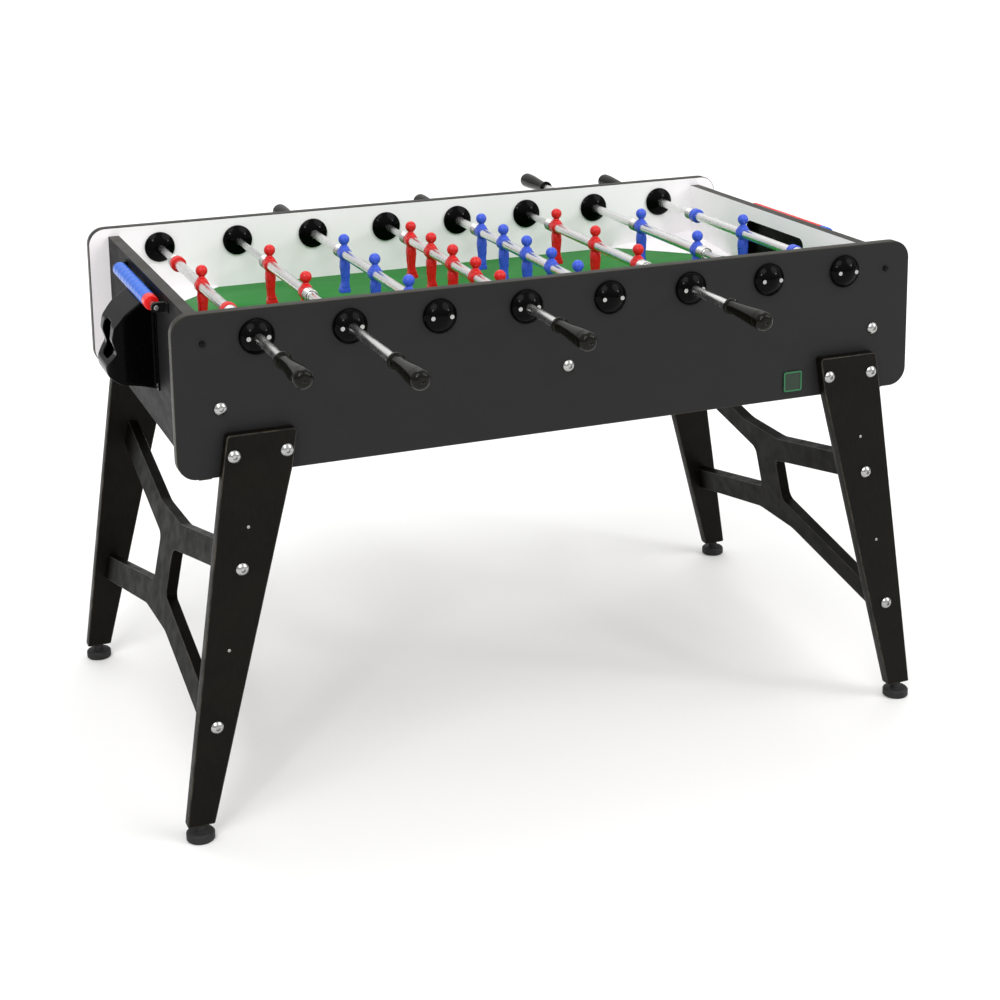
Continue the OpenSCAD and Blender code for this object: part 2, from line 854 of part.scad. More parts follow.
module brace() {
    q = brace_quarter();
    outline = concat(q, reversed(flip(q, 1, -1)), flip(q, -1, -1), reversed(flip(q, -1, 1)));
    radii = concat(BRACE_ROUND, reversed(BRACE_ROUND), BRACE_ROUND, reversed(BRACE_ROUND));
    skew = atan(back_leg_out / 2 / side_out);
    reach = 2 * side_out;
    difference() {
        intersection() {
            translate([leg_mid(brace_z) + back_leg_out / 2, 0, brace_z])
                rotate([0, 0, -skew])
                    rotate([0, -leg_tilt, 0])
                        rotate([90, 0, 90])
                            linear_extrude(brace_t, center = true)
                                polygon(rounded(outline, radii, 8));
            translate([0, -side_out, 0])
                cube(reach);
        }
        for (s = ENDS)
            for (p = brace_bolts(s))
                translate([p[0], 0, p[1]])
                    bar_y(bolt_d + 2 * fix_fit, s < 0 ? -side_out - 1 : side_out - brace_bolt_in,
                          s < 0 ? -side_out + brace_bolt_in : side_out + 1);
    }
}

module end_braces() {
    color("#1b1a16")
        for (e = ENDS)
            mirror([e < 0 ? 1 : 0, 0, 0])
                brace();
}

// ---- bolts and screws ----

// a dome-headed socket bolt: head on the XY plane, shank of length l below it
module dome_bolt(l) {
    socket_w = 8;
    ball_r = bolt_head_d * 0.62;
    difference() {
        union() {
            intersection() {
                cylinder(d = bolt_head_d, h = bolt_head_h);
                translate([0, 0, bolt_head_h - ball_r])
                    sphere(ball_r);
            }
            translate([0, 0, -l])
                cylinder(d = bolt_d, h = l + 1);
        }
        translate([0, 0, bolt_head_h - 4])
            cylinder(d = socket_w, h = 5, $fn = 6);
    }
}

module nut() {
    difference() {
        cylinder(d = nut_w, h = nut_h, $fn = 6);
        translate([0, 0, -1])
            cylinder(d = bolt_d + 2 * fix_fit, h = nut_h + 2);
    }
}

// children() at [x, face, z] of side s, with their Z pointing out of the table
module on_side(p, s, face) {
    translate([p[0], s * face, p[1]])
        rotate([s < 0 ? 90 : -90, 0, 0])
            children();
}

module dome_bolts() {
    color("silver")
        for (s = ENDS) {
            for (p = panel_bolts())
                on_side(p, s, side_out)
                    dome_bolt(side_t + 28);
            for (p = leg_top_bolts(s)) {
                on_side(p, s, leg_out)
                    dome_bolt(leg_t + side_t + nut_h + 3);
                on_side(p, s, side_in - nut_h)
                    nut();
            }
            for (e = ENDS)
                for (p = brace_bolts(s))
                    on_side([e * p[0], p[1]], s, leg_out)
                        dome_bolt(leg_t + brace_bolt_in - 3);
        }
}

module screw(head_h, l) {
    translate([0, 0, -l])
        cylinder(d = screw_d, h = l + 0.5);
    cylinder(d = screw_head_d, h = head_h);
}

module small_screws() {
    color("silver") {
        for (s = ENDS) {
            for (i = RODS)
                for (k = ENDS)
                    on_side([rod_x(i) + k * flange_screw_at, rod_z], s, side_out + screw_seat)
                        screw(3, screw_seat + screw_in - 1);
            for (p = corner_screws())
                on_side(p, s, side_out)
                    screw(2, side_t + 28);
        }
        for (e = ENDS)
            for (p = cup_screws())
                translate([e * (end_out + cup_flange_t), p[0], p[1]])
                    rotate([0, e * 90, 0])
                        screw(2.4, cup_flange_t + cup_screw_in);
    }
}

// ---- score counters ----

// free length of rod above the stack of beads
bead_play = 16.5;
bead_gap = 0.3;
stack_top = (counter_span - bracket_w) / 2 - bead_play;

module counter_brackets() {
    foot_w = 16;
    foot_t = 3;
    color("#151515")
        for (e = ENDS)
            for (s = ENDS)
                mirror([e < 0 ? 1 : 0, 0, 0])
                    translate([counter_x, s * counter_span / 2, counter_z])
                        difference() {
                            union() {
                                bar_y(2 * bracket_r, -bracket_w / 2, bracket_w / 2);
                                translate([-counter_off, -bracket_w / 2, -bracket_r])
                                    cube([counter_off, bracket_w, 2 * bracket_r]);
                                translate([-counter_off, s > 0 ? 0 : -foot_w, -bracket_r])
                                    cube([foot_t, foot_w, 2 * bracket_r]);
                            }
                            bar_y(counter_rod_d + 2 * run_fit, -bracket_w, bracket_w);
                        }
}

module counter_rods() {
    color("silver")
        for (e = ENDS)
            translate([e * counter_x, 0, counter_z])
                bar_y(counter_rod_d, -counter_span / 2 - bracket_w / 2 - 2,
                      counter_span / 2 + bracket_w / 2 + 2);
}

// n beads end to end on counter e, the first one's back end at y
module beads(e, y, n) {
    edge = 1.5;
    r = bead_d / 2;
    hole_r = counter_rod_d / 2 + 0.1;
    for (k = [0:n - 1])
        translate([e * counter_x, y - k * bead_len, counter_z])
            rotate([90, 0, 0])
                rotate_extrude()
                    polygon([[hole_r, 0], [r - edge, 0], [r, edge], [r, bead_len - edge],
                             [r - edge, bead_len], [hole_r, bead_len]]);
}

module bead_stack(e, shade) {
    color(shade)
        beads(e, stack_top, BEADS);
}

module odd_bead(e, shade) {
    color(shade)
        beads(e, stack_top - BEADS * bead_len - bead_gap, 1);
}

module badge() {
    frame_w = 3;
    plate_t = 2.5;
    recess = 1;
    from_leg = 45;
    up = 32;
    x = leg_out_x - leg_top_w - from_leg;
    color("#1d3a22")
        translate([x, -side_out, side_z + up])
            rotate([90, 0, 0])
                difference() {
                    linear_extrude(plate_t)
                        rounded_plate(badge_w, badge_w, 4);
                    translate([0, 0, plate_t - recess])
                        linear_extrude(2 * recess)
                            rounded_plate(badge_w - 2 * frame_w, badge_w - 2 * frame_w, 2);
                }
}

// ---- what is drawn ----

side_panel(-1);  // side_panel_front
side_panel(1);  // side_panel_back
end_panel(-1);  // end_panel_left
end_panel(1);  // end_panel_right
playfield();
corner_ramps();
field_battens();
goal_chutes();
ball_cups();
rod_bearings();
small_screws();
dome_bolts();
end_braces();
counter_brackets();
counter_rods();
bead_stack(-1, "dodgerblue");  // left_blue_beads
odd_bead(-1, "red");  // left_red_bead
bead_stack(1, "red");  // right_red_beads
odd_bead(1, "dodgerblue");  // right_blue_bead
badge();
for (k = [0:3]) leg(CORNERS[k]);
for (k = [0:3]) foot(CORNERS[k]);
for (i = RODS) inner_rod(i);
for (i = RODS) tube(i);
for (i = RODS) men(i);
for (i = RODS) handle(i);
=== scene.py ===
"""Foosball table: looks, stage and camera, built around the packed model.

Everything is in metres, with +X along the field, +Y across it and +Z up from the floor.
"""

import math

import bmesh
import bpy
from bpy.props import FloatProperty, FloatVectorProperty, IntProperty, PointerProperty
from mathutils import Matrix, Vector


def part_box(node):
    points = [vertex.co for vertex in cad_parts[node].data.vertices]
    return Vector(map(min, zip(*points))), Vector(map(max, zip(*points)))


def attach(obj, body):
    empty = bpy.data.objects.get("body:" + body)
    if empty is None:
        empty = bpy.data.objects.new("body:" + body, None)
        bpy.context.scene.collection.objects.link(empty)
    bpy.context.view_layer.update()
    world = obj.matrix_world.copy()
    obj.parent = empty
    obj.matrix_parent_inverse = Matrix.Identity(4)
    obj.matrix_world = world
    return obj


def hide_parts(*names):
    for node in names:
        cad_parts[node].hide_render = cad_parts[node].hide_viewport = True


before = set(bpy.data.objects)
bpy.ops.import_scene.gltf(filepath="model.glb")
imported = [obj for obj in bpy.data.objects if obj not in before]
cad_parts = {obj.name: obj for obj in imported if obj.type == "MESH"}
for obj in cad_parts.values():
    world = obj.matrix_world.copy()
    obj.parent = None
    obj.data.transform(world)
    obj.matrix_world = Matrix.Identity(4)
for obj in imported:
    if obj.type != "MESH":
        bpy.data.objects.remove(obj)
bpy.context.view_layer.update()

bl_info = {
    "name": "Foosball Table",
    "version": (1, 0, 0),
    "blender": (4, 5, 0),
    "location": "View3D > Sidebar > Foosball",
    "description": "Gives a foosball table its players, handles, springs, finishes and stage",
    "category": "Object",
}

MM = 0.001
# vertices nearer than this are taken as one
WELD_WITHIN = 0.02 * MM
RODS = (
    "red_keeper", "red_defence", "blue_attack", "red_midfield",
    "blue_midfield", "red_attack", "blue_defence", "blue_keeper",
)
PLAYERS_ON = {"keeper": 1, "defence": 2, "attack": 3, "midfield": 5}
ENDS = ("left", "right")
SIDES = ("front", "back")
CORNERS = tuple(f"{side}_{end}" for side in SIDES for end in ENDS)


# ---------------------------------------------------------------- settings


def colour_setting(name, description, default):
    """A colour a user may change."""
    return FloatVectorProperty(
        name=name, description=description, default=default,
        size=3, min=0.0, max=1.0, subtype="COLOR",
    )


def length_setting(name, description, millimetres):
    """A length a user may change, given in millimetres and kept in metres."""
    return FloatProperty(
        name=name, description=description, default=millimetres * MM,
        min=0.0, subtype="DISTANCE", unit="LENGTH", precision=4,
    )


class CabinetFinish(bpy.types.PropertyGroup):
    outside: colour_setting("Outside", "Laminate on the outer faces", (0.0148, 0.0148, 0.0150))
    # the pink tint in this white is painted against the green light that the field throws on the inner
    # faces
    inside: colour_setting("Inside", "Laminate towards the field", (0.93, 0.89, 0.91))
    edging: colour_setting("Edging", "Edge band of the panels", (0.013, 0.0112, 0.0065))
    field: colour_setting("Field", "Playing surface", (0.0025, 0.175, 0.012))
    field_edge: colour_setting("Board", "Core of the playing board", (0.16, 0.10, 0.055))
    leg_board: colour_setting("Leg board", "Board of legs and braces", (0.0036, 0.0031, 0.0020))
    panel_round: length_setting("Panel rounding", "Rounding of the panels' edges", 1.4)
    leg_round: length_setting("Leg rounding", "Rounding of the legs' edges", 2.0)


class TeamFinish(bpy.types.PropertyGroup):
    red: colour_setting("Red team", "Plastic of the red players", (0.620, 0.010, 0.010))
    blue: colour_setting("Blue team", "Plastic of the blue players", (0.040, 0.095, 0.600))
    bead_red: colour_setting("Red beads", "Plastic of the red score beads", (0.700, 0.008, 0.008))
    bead_blue: colour_setting("Blue beads", "Plastic of the blue score beads", (0.008, 0.120, 0.620))


class RodSizes(bpy.types.PropertyGroup):
    spring_wire: length_setting("Spring wire", "Diameter of the buffer springs' wire", 2.2)
    spring_turns: IntProperty(
        name="Spring turns", description="Turns of each buffer spring", default=9, min=2, max=16,
    )
    tube_edge: length_setting("Tube edge", "Rounding of the tubes' ends", 0.6)
    player_detail: length_setting("Player detail", "Smallest detail in a player's shape", 0.8)


class StageSettings(bpy.types.PropertyGroup):
    camera_place: FloatVectorProperty(
        name="Camera place", description="Where the camera stands",
        default=(-1.20705, -3.09931, 1.55057), size=3, subtype="TRANSLATION", unit="LENGTH",
    )
    camera_turn: FloatProperty(
        name="Camera turn", description="Heading of the camera, from +Y towards +X",
        default=math.radians(21.732), subtype="ANGLE", unit="ROTATION",
    )
    camera_tilt: FloatProperty(
        name="Camera tilt", description="How far the camera looks down",
        default=math.radians(11.740), subtype="ANGLE", unit="ROTATION",
    )
    camera_roll: FloatProperty(
        name="Camera roll", description="Roll of the camera",
        default=math.radians(-0.762), subtype="ANGLE", unit="ROTATION",
    )
    lens: FloatProperty(name="Lens", description="Focal length", default=67.35, unit="CAMERA")
    shift: FloatProperty(name="Shift", description="Vertical lens shift", default=-0.2678)
    floor: colour_setting("Floor", "Pale floor", (0.86, 0.86, 0.855))


# ---------------------------------------------------------------- materials


class Finish:
    """A material under construction, with short ways to add texture to its shader."""

    def __init__(self, name, **shader):
        self.material = bpy.data.materials.new(name)
        self.material.use_nodes = True
        self.nodes = self.material.node_tree.nodes
        self.links = self.material.node_tree.links
        self.shader = self.nodes["Principled BSDF"]
        for socket, value in shader.items():
            self.shader.inputs[socket.replace("_", " ")].default_value = value
        self.place = self.nodes.new("ShaderNodeTexCoord").outputs["Object"]
        self.normal = None

    def add(self, kind, inputs=None, **settings):
        node = self.nodes.new("ShaderNode" + kind)
        for key, value in settings.items():
            setattr(node, key, value)
        for key, value in (inputs or {}).items():
            if isinstance(value, bpy.types.NodeSocket):
                self.links.new(value, node.inputs[key])
            else:
                node.inputs[key].default_value = value
        return node

    def stretched(self, scale):
        """The object's coordinates, scaled by axis."""
        return self.add("Mapping", {"Vector": self.place, "Scale": scale}).outputs["Vector"]

    def noise(self, scale, detail=3.0, stretch=None, roughness=0.55):
        vector = self.stretched(stretch) if stretch else self.place
        inputs = {"Vector": vector, "Scale": scale, "Detail": detail, "Roughness": roughness}
        return self.add("TexNoise", inputs).outputs["Fac"]

    def ranged(self, value, low, high, to_low, to_high):
        inputs = {
            "Value": value, "From Min": low, "From Max": high, "To Min": to_low, "To Max": to_high,
        }
        return self.add("MapRange", inputs).outputs["Result"]

    def blend(self, factor, one, two):
        """Mixes two colours, given as tuples or as sockets."""
        node = self.add("Mix", data_type="RGBA")
        self.links.new(factor, node.inputs[0])
        for socket, value in ((node.inputs[6], one), (node.inputs[7], two)):
            if isinstance(value, bpy.types.NodeSocket):
                self.links.new(value, socket)
            else:
                socket.default_value = (*value, 1.0)
        return node.outputs[2]

    def colour(self, value):
        self.links.new(value, self.shader.inputs["Base Color"])
        return self

    def rough(self, value):
        self.links.new(value, self.shader.inputs["Roughness"])
        return self

    def bump(self, height, depth, strength=1.0):
        """Adds relief of the given depth in metres on top of what is there."""
        inputs = {"Height": height, "Distance": depth, "Strength": strength}
        if self.normal:
            inputs["Normal"] = self.normal
        self.normal = self.add("Bump", inputs).outputs["Normal"]
        self.links.new(self.normal, self.shader.inputs["Normal"])
        return self


def shade(colour, factor):
    """A colour made lighter or darker."""
    return tuple(min(1.0, channel * factor) for channel in colour)


def laminate(name, colour, roughness, gloss=0.14):
    """Hard matt laminate with a fine pearl grain and faint wipe marks."""
    f = Finish(name, Specular_IOR_Level=gloss)
    grain = f.noise(1400.0, 2.0)
    patches = f.noise(5.0, 4.0)
    speckled = f.blend(f.ranged(grain, 0.3, 0.7, 0.0, 1.0), shade(colour, 0.90), shade(colour, 1.10))
    f.colour(f.blend(f.ranged(patches, 0.35, 0.65, 0.0, 0.35), speckled, shade(colour, 1.06)))
    wipes = f.noise(22.0, 5.0, stretch=(1.0, 1.0, 3.0))
    f.rough(f.ranged(wipes, 0.3, 0.7, roughness - 0.06, roughness + 0.06))
    return f.bump(grain, 0.00004, 0.5).bump(f.noise(260.0, 3.0), 0.00005, 0.3).material


def edge_band(name, colour):
    """Glued plastic edge band, drawn lengthwise, a little glossier than the laminate."""
    f = Finish(name, Specular_IOR_Level=0.25)
    streaks = f.noise(60.0, 4.0, stretch=(0.3, 0.3, 8.0))
    f.colour(f.blend(f.ranged(streaks, 0.3, 0.7, 0.0, 1.0), shade(colour, 0.78), shade(colour, 1.28)))
    f.rough(f.ranged(streaks, 0.3, 0.7, 0.36, 0.50))
    return f.bump(f.noise(500.0, 3.0), 0.00005, 0.5).material


def playing_surface(name, colour):
    """Printed hard board: fine stipple, with paler lanes where the balls run."""
    f = Finish(name, Specular_IOR_Level=0.09)
    stipple = f.noise(900.0, 3.0)
    lanes = f.noise(3.2, 3.0, stretch=(1.0, 2.6, 1.0))
    base = f.blend(f.ranged(stipple, 0.3, 0.7, 0.0, 1.0), shade(colour, 0.86), shade(colour, 1.12))
    worn = tuple(0.8 * c + 0.2 * w for c, w in zip(colour, (0.012, 0.26, 0.03)))
    f.colour(f.blend(f.ranged(lanes, 0.42, 0.70, 0.0, 0.6), base, worn))
    f.rough(f.ranged(lanes, 0.3, 0.7, 0.46, 0.34))
    return f.bump(stipple, 0.00006, 0.6).material


def raw_board(name, colour, along=(1.0, 0.12, 1.0)):
    """Unfinished wood or fibre board, with its grain along one axis."""
    f = Finish(name, Specular_IOR_Level=0.25, Roughness=0.78)
    grain = f.noise(70.0, 6.0, stretch=along)
    fibre = f.noise(600.0, 3.0, stretch=along)
    light = f.blend(f.ranged(grain, 0.3, 0.7, 0.0, 1.0), shade(colour, 0.70), shade(colour, 1.22))
    f.colour(f.blend(f.ranged(fibre, 0.4, 0.8, 0.0, 0.5), light, shade(colour, 0.62)))
    return f.bump(fibre, 0.00015, 0.6).bump(grain, 0.0002, 0.4).material


def leg_board(name, colour, gloss=0.09):
    """Black board with a pressed, softly mottled grain."""
    f = Finish(name, Specular_IOR_Level=gloss)
    pores = f.noise(210.0, 6.0, stretch=(1.0, 1.0, 0.22), roughness=0.62)
    clouds = f.noise(11.0, 5.0)
    base = f.blend(f.ranged(pores, 0.32, 0.68, 0.0, 1.0), shade(colour, 0.62), shade(colour, 1.35))
    brown = (colour[0] * 2.1, colour[1] * 1.85, colour[2] * 1.5)
    f.colour(f.blend(f.ranged(clouds, 0.46, 0.72, 0.0, 0.5), base, brown))
    f.rough(f.ranged(f.noise(30.0, 5.0), 0.3, 0.7, 0.34, 0.52))
    return f.bump(pores, 0.00022, 0.55).bump(f.noise(900.0, 2.0), 0.00004, 0.5).material


def painted_edge_highlight(name, colour):
    """The rubbed edge of the black board, where it has gone paler and smoother."""
    f = Finish(name, Specular_IOR_Level=0.25)
    highlight_mottle = f.noise(38.0, 6.0, roughness=0.65)
    # painted highlight: the edge's colour is the board's made twelve times lighter
    pale = shade(colour, 12.0)
    f.colour(f.blend(f.ranged(highlight_mottle, 0.42, 0.66, 0.0, 1.0), shade(colour, 1.3), pale))
    f.rough(f.ranged(highlight_mottle, 0.3, 0.7, 0.42, 0.28))
    return f.bump(highlight_mottle, 0.00010, 0.4).material


def moulded(name, colour, roughness=0.30, gloss=0.4, mottling=0.07, dust=0.0):
    """Injection-moulded plastic: faint flow marks, fine skin and, on black parts, a little dust."""
    f = Finish(name, Specular_IOR_Level=gloss)
    flow = f.noise(45.0, 4.0, stretch=(1.0, 1.0, 0.4))
    skin = f.noise(1100.0, 2.0)
    tone = f.blend(
        f.ranged(flow, 0.3, 0.7, 0.0, 1.0), shade(colour, 1.0 - mottling), shade(colour, 1.0 + mottling)
    )
    if dust:
        specks = f.ranged(f.noise(420.0, 4.0), 0.60, 0.78, 0.0, dust)
        tone = f.blend(specks, tone, (0.09, 0.09, 0.085))
    f.colour(tone)
    f.rough(f.ranged(f.noise(70.0, 4.0), 0.3, 0.7, roughness * 0.85, roughness * 1.2))
    return f.bump(skin, 0.00003, 0.35).bump(flow, 0.00008, 0.25).material


def plated(name, colour, low, high, along=(1.0, 0.03, 1.0), marks=0.25):
    """Plated or ground steel, with fine polishing lines along one axis and smudges."""
    f = Finish(name, Metallic=1.0)
    lines = f.noise(900.0, 3.0, stretch=along)
    smudges = f.noise(28.0, 5.0)
    tone = f.blend(f.ranged(lines, 0.3, 0.7, 0.0, 1.0), shade(colour, 0.93), shade(colour, 1.05))
    f.colour(f.blend(f.ranged(smudges, 0.5, 0.75, 0.0, 0.3), tone, shade(colour, 0.82)))
    f.rough(f.ranged(smudges, 0.3, 0.7, low, high))
    return f.bump(lines, 0.00002, marks).material


def rubber(name, colour):
    """Dull black rubber with a soft bloom."""
    f = Finish(name, Specular_IOR_Level=0.3)
    bloom = f.noise(60.0, 5.0)
    f.colour(f.blend(f.ranged(bloom, 0.4, 0.75, 0.0, 1.0), colour, shade(colour, 2.4)))
    f.rough(f.ranged(bloom, 0.3, 0.7, 0.55, 0.8))
    return f.bump(f.noise(700.0, 3.0), 0.0001, 0.5).material


def floor_paint(name, colour):
    """Smooth pale floor with a barely visible unevenness."""
    f = Finish(name, Specular_IOR_Level=0.2)
    tone = f.noise(0.8, 3.0)
    f.colour(f.blend(f.ranged(tone, 0.3, 0.7, 0.0, 1.0), shade(colour, 0.99), shade(colour, 1.01)))
    f.rough(f.ranged(tone, 0.3, 0.7, 0.62, 0.72))
    return f.bump(f.noise(120.0, 3.0), 0.0002, 0.2).material


# ---------------------------------------------------------------- mesh tools


def new_piece(name, mesh, material, slot_name, body, *replaced):
    """Links a finished mesh as a piece that rides on a body and stands for CAD nodes."""
    piece = bpy.data.objects.new(name, mesh)
    bpy.context.scene.collection.objects.link(piece)
    if material and not mesh.materials:
        mesh.materials.append(material)
    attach(piece, body)
    if replaced:
        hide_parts(*replaced)
    return piece


def mesh_of(name, form, smooth=True):
    """Turns a bmesh into a mesh with outward faces, smooth or flat."""
    bmesh.ops.recalc_face_normals(form, faces=form.faces)
    mesh = bpy.data.meshes.new(name)
    form.to_mesh(mesh)
    form.free()
    if smooth:
        mesh.shade_smooth()
    return mesh


def bridge(form, rings):
    """Joins rings of vertices, each with as many, into a skin."""
    for one, two in zip(rings, rings[1:]):
        for k in range(len(one)):
            n = (k + 1) % len(one)
            form.faces.new((one[k], one[n], two[n], two[k]))


def turned(name, centre, outline, direction=1.0, segments=56, hollow=False):
    """A lathe piece about an axis along Y through centre.

    The outline is a list of (distance along Y from centre, radius). A hollow piece's outline
    closes on itself; a solid one starts and ends on the axis with radius 0.
    """
    form = bmesh.new()
    rings = []
    for along, radius in outline:
        y = centre.y + direction * along
        if radius < 1e-7:
            rings.append([form.verts.new((centre.x, y, centre.z))])
            continue
        rings.append([
            form.verts.new((
                centre.x + radius * math.cos(math.tau * k / segments), y,
                centre.z + radius * math.sin(math.tau * k / segments),
            ))
            for k in range(segments)
        ])
    pairs = list(zip(rings, rings[1:])) + ([(rings[-1], rings[0])] if hollow else [])
    for one, two in pairs:
        for k in range(segments):
            n = (k + 1) % segments
            if len(one) == 1:
                form.faces.new((one[0], two[n], two[k]))
            elif len(two) == 1:
                form.faces.new((one[k], one[n], two[0]))
            else:
                form.faces.new((one[k], one[n], two[n], two[k]))
    mesh = mesh_of(name, form)
    mark_sharp(mesh, 32.0)
    return mesh


def mark_sharp(mesh, degrees):
    """Keeps the edges that turn by more than an angle crisp."""
    mesh.set_sharp_from_angle(angle=math.radians(degrees))


def arc(centre_along, centre_radius, radius, start, stop, steps):
    """Points of an outline on an arc, with angles in degrees from the axis direction."""
    points = []
    for k in range(steps + 1):
        angle = math.radians(start + (stop - start) * k / steps)
        points.append((
            centre_along + radius * math.cos(angle), centre_radius + radius * math.sin(angle)
        ))
    return points


def helix(name, centre, start, length, radius, wire, turns, steps=28, sides=10):
    """A wire coil about an axis along Y, with its end turns closed up."""
    form = bmesh.new()
    rings = []
    count = turns * steps
    for k in range(count + 1):
        t = k / count
        angle = math.tau * turns * t
        along = start + wire / 2 + (length - wire) * t
        out = Vector((math.cos(angle), 0.0, math.sin(angle)))
        rings.append([
            form.verts.new(
                Vector((centre.x, along, centre.z)) + out * radius
                + (out * math.cos(turn) + Vector((0.0, 1.0, 0.0)) * math.sin(turn)) * wire / 2
            )
            for turn in (math.tau * s / sides for s in range(sides))
        ])
    bridge(form, rings)
    form.faces.new(rings[0])
    form.faces.new(reversed(rings[-1]))
    return mesh_of(name, form)


def loft(form, rings, points=20):
    """A closed form through rings of (centre x, centre y, z, half depth, half width, squareness)."""
    skins = []
    for x, y, z, depth, width, power in rings:
        skin = []
        for k in range(points):
            c, s = math.cos(math.tau * k / points), math.sin(math.tau * k / points)
            u = math.copysign(abs(c) ** (2.0 / power), c)
            v = math.copysign(abs(s) ** (2.0 / power), s)
            skin.append(form.verts.new((x + depth * u, y + width * v, z)))
        skins.append(skin)
    bridge(form, skins)
    form.faces.new(skins[0])
    form.faces.new(reversed(skins[-1]))


def with_modifiers(obj, name):
    """The mesh that an object's modifiers make, as plain mesh data; the object is removed."""
    shown = obj.evaluated_get(bpy.context.evaluated_depsgraph_get())
    mesh = bpy.data.meshes.new_from_object(shown)
    mesh.name = name
    old = obj.data
    bpy.data.objects.remove(obj)
    bpy.data.meshes.remove(old)
    return mesh


def loose(name, mesh):
    """An object that is only a step on the way to a mesh."""
    obj = bpy.data.objects.new(name, mesh)
    bpy.context.scene.collection.objects.link(obj)
    return obj


def soften(obj, width, edge_material=None, segments=3, angle=35.0):
    """Rounds a CAD node's sharp edges with modifiers, in its own material or another slot's."""
    weld = obj.modifiers.new("join", "WELD")
    weld.merge_threshold = WELD_WITHIN
    flat = obj.modifiers.new("one face per plane", "DECIMATE")
    flat.decimate_type = "DISSOLVE"
    flat.angle_limit = math.radians(0.6)
    flat.delimit = {"MATERIAL"}
    bevel = obj.modifiers.new("round", "BEVEL")
    bevel.width = width
    bevel.segments = segments
    bevel.limit_method = "ANGLE"
    bevel.angle_limit = math.radians(angle)
    bevel.use_clamp_overlap = False
    if edge_material is not None:
        bevel.material = edge_material
    even = obj.modifiers.new("even", "WEIGHTED_NORMAL")
    even.weight = 60


# rounding at a board's holes, small enough that neighbouring holes keep clear of each other
HOLE_ROUND = 0.3 * MM


def board(name, node, out, rounding, materials, slots, steps=4):
    """A flat board in mesh code, with rounded edges, from the outline and holes of a CAD board.

    out is the outer face's normal, and slots gives the material index of the outer face, the
    inner face, the edge and the rounding.
    """
    low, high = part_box(node)
    thick = abs((high - low).dot(out))
    flat = bmesh.new()
    flat.from_mesh(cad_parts[node].data)
    bmesh.ops.remove_doubles(flat, verts=flat.verts, dist=WELD_WITHIN)
    top = max(vert.co.dot(out) for vert in flat.verts)
    cap = {
        face for face in flat.faces
        if face.normal.dot(out) > 0.999 and abs(face.calc_center_median().dot(out) - top) < 0.00001
    }
    # each rim edge runs with the board on its left, seen from outside
    following = {}
    for face in cap:
        for corner in face.loops:
            if sum(other in cap for other in corner.edge.link_faces) == 1:
                following[corner.vert] = corner.link_loop_next.vert
    rims = []
    while following:
        vert = next(iter(following))
        rim = []
        while vert in following:
            rim.append(vert.co.copy())
            vert = following.pop(vert)
        rims.append(rim)
    flat.free()
    longest = max(rims, key=lambda rim: sum((a - b).length for a, b in zip(rim, rim[1:] + rim[:1])))

    form = bmesh.new()
    quarter = [math.pi / 2 * k / steps for k in range(steps + 1)]
    ends = ([], [])
    for rim in rims:
        width = rounding if rim is longest else HOLE_ROUND
        into = []
        for k, here in enumerate(rim):
            one = out.cross((here - rim[k - 1]).normalized())
            two = out.cross((rim[(k + 1) % len(rim)] - here).normalized())
            into.append((one + two) / (1.0 + one.dot(two)))
        profile = [(width * (1 - math.cos(a)), width * (1 - math.sin(a))) for a in reversed(quarter)]
        profile += [(width * (1 - math.cos(a)), thick - width * (1 - math.sin(a))) for a in quarter]
        rings = [
            [form.verts.new(p + i * inset - out * depth) for p, i in zip(rim, into)]
            for inset, depth in profile
        ]
        bridge(form, rings)
        for end, ring in zip(ends, (rings[0], rings[-1])):
            end.append(ring)
    form.faces.ensure_lookup_table()
    for face in form.faces:
        spread = [vert.co.dot(out) for vert in face.verts]
        face.material_index = slots[2] if max(spread) - min(spread) > thick / 2 else slots[3]
    for index, rings in zip(slots[:2], ends):
        edges = []
        for ring in rings:
            for a, b in zip(ring, ring[1:] + ring[:1]):
                edge = form.edges.get((a, b))
                edge.smooth = False
                edges.append(edge)
        filled = bmesh.ops.triangle_fill(form, use_beauty=True, edges=edges, normal=out)
        for face in filled["geom"]:
            if isinstance(face, bmesh.types.BMFace):
                face.material_index = index
    mesh = mesh_of(name, form)
    for material in materials:
        mesh.materials.append(material)
    return mesh


def finish_node(node, *materials):
    """Puts materials on a CAD node's slots and returns its object."""
    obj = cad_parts[node]
    obj.data.materials.clear()
    for material in materials:
        obj.data.materials.append(material)
    return obj


def paint_faces(obj, rule):
    """Gives each face of a CAD node the material slot that rule(normal, middle) names."""
    for face in obj.data.polygons:
        face.material_index = rule(face.normal, face.center)


# ---------------------------------------------------------------- cabinet


def make_cabinet(settings):
    """Panels: dark laminate outside, white towards the field, brown-black bands on the edges.

    The side panels are new boards with rounded edges. The end panels keep the CAD shape, in a
    duller laminate.
    """
    outside = laminate("dark laminate", settings.outside, 0.48)
    # painted shade: the end panels' laminate is the outside laminate at 0.8 of its brightness
    ends = laminate("end laminate in painted shade", shade(settings.outside, 0.8), 0.52, gloss=0.06)
    # the inside colour carries a pink tint painted against the field's green light
    inside = laminate("white laminate", settings.inside, 0.36)
    edging = edge_band("edge band", settings.edging)
    for name, outward in (
        ("side_panel_front", Vector((0, -1, 0))), ("side_panel_back", Vector((0, 1, 0))),
        ("end_panel_left", Vector((-1, 0, 0))), ("end_panel_right", Vector((1, 0, 0))),
    ):
        if name.startswith("side"):
            mesh = board(
                f"{name}_board", name, outward, settings.panel_round,
                (outside, inside, edging), (0, 1, 2, 2),
            )
            new_piece(f"{name}_board", mesh, None, "grey_laminate", "cabinet", name)
            continue
        obj = finish_node(name, ends, inside, edging)
        paint_faces(obj, lambda normal, place, out=outward: (
            0 if normal.dot(out) > 0.9 else 1 if normal.dot(out) < -0.9 else 2
        ))


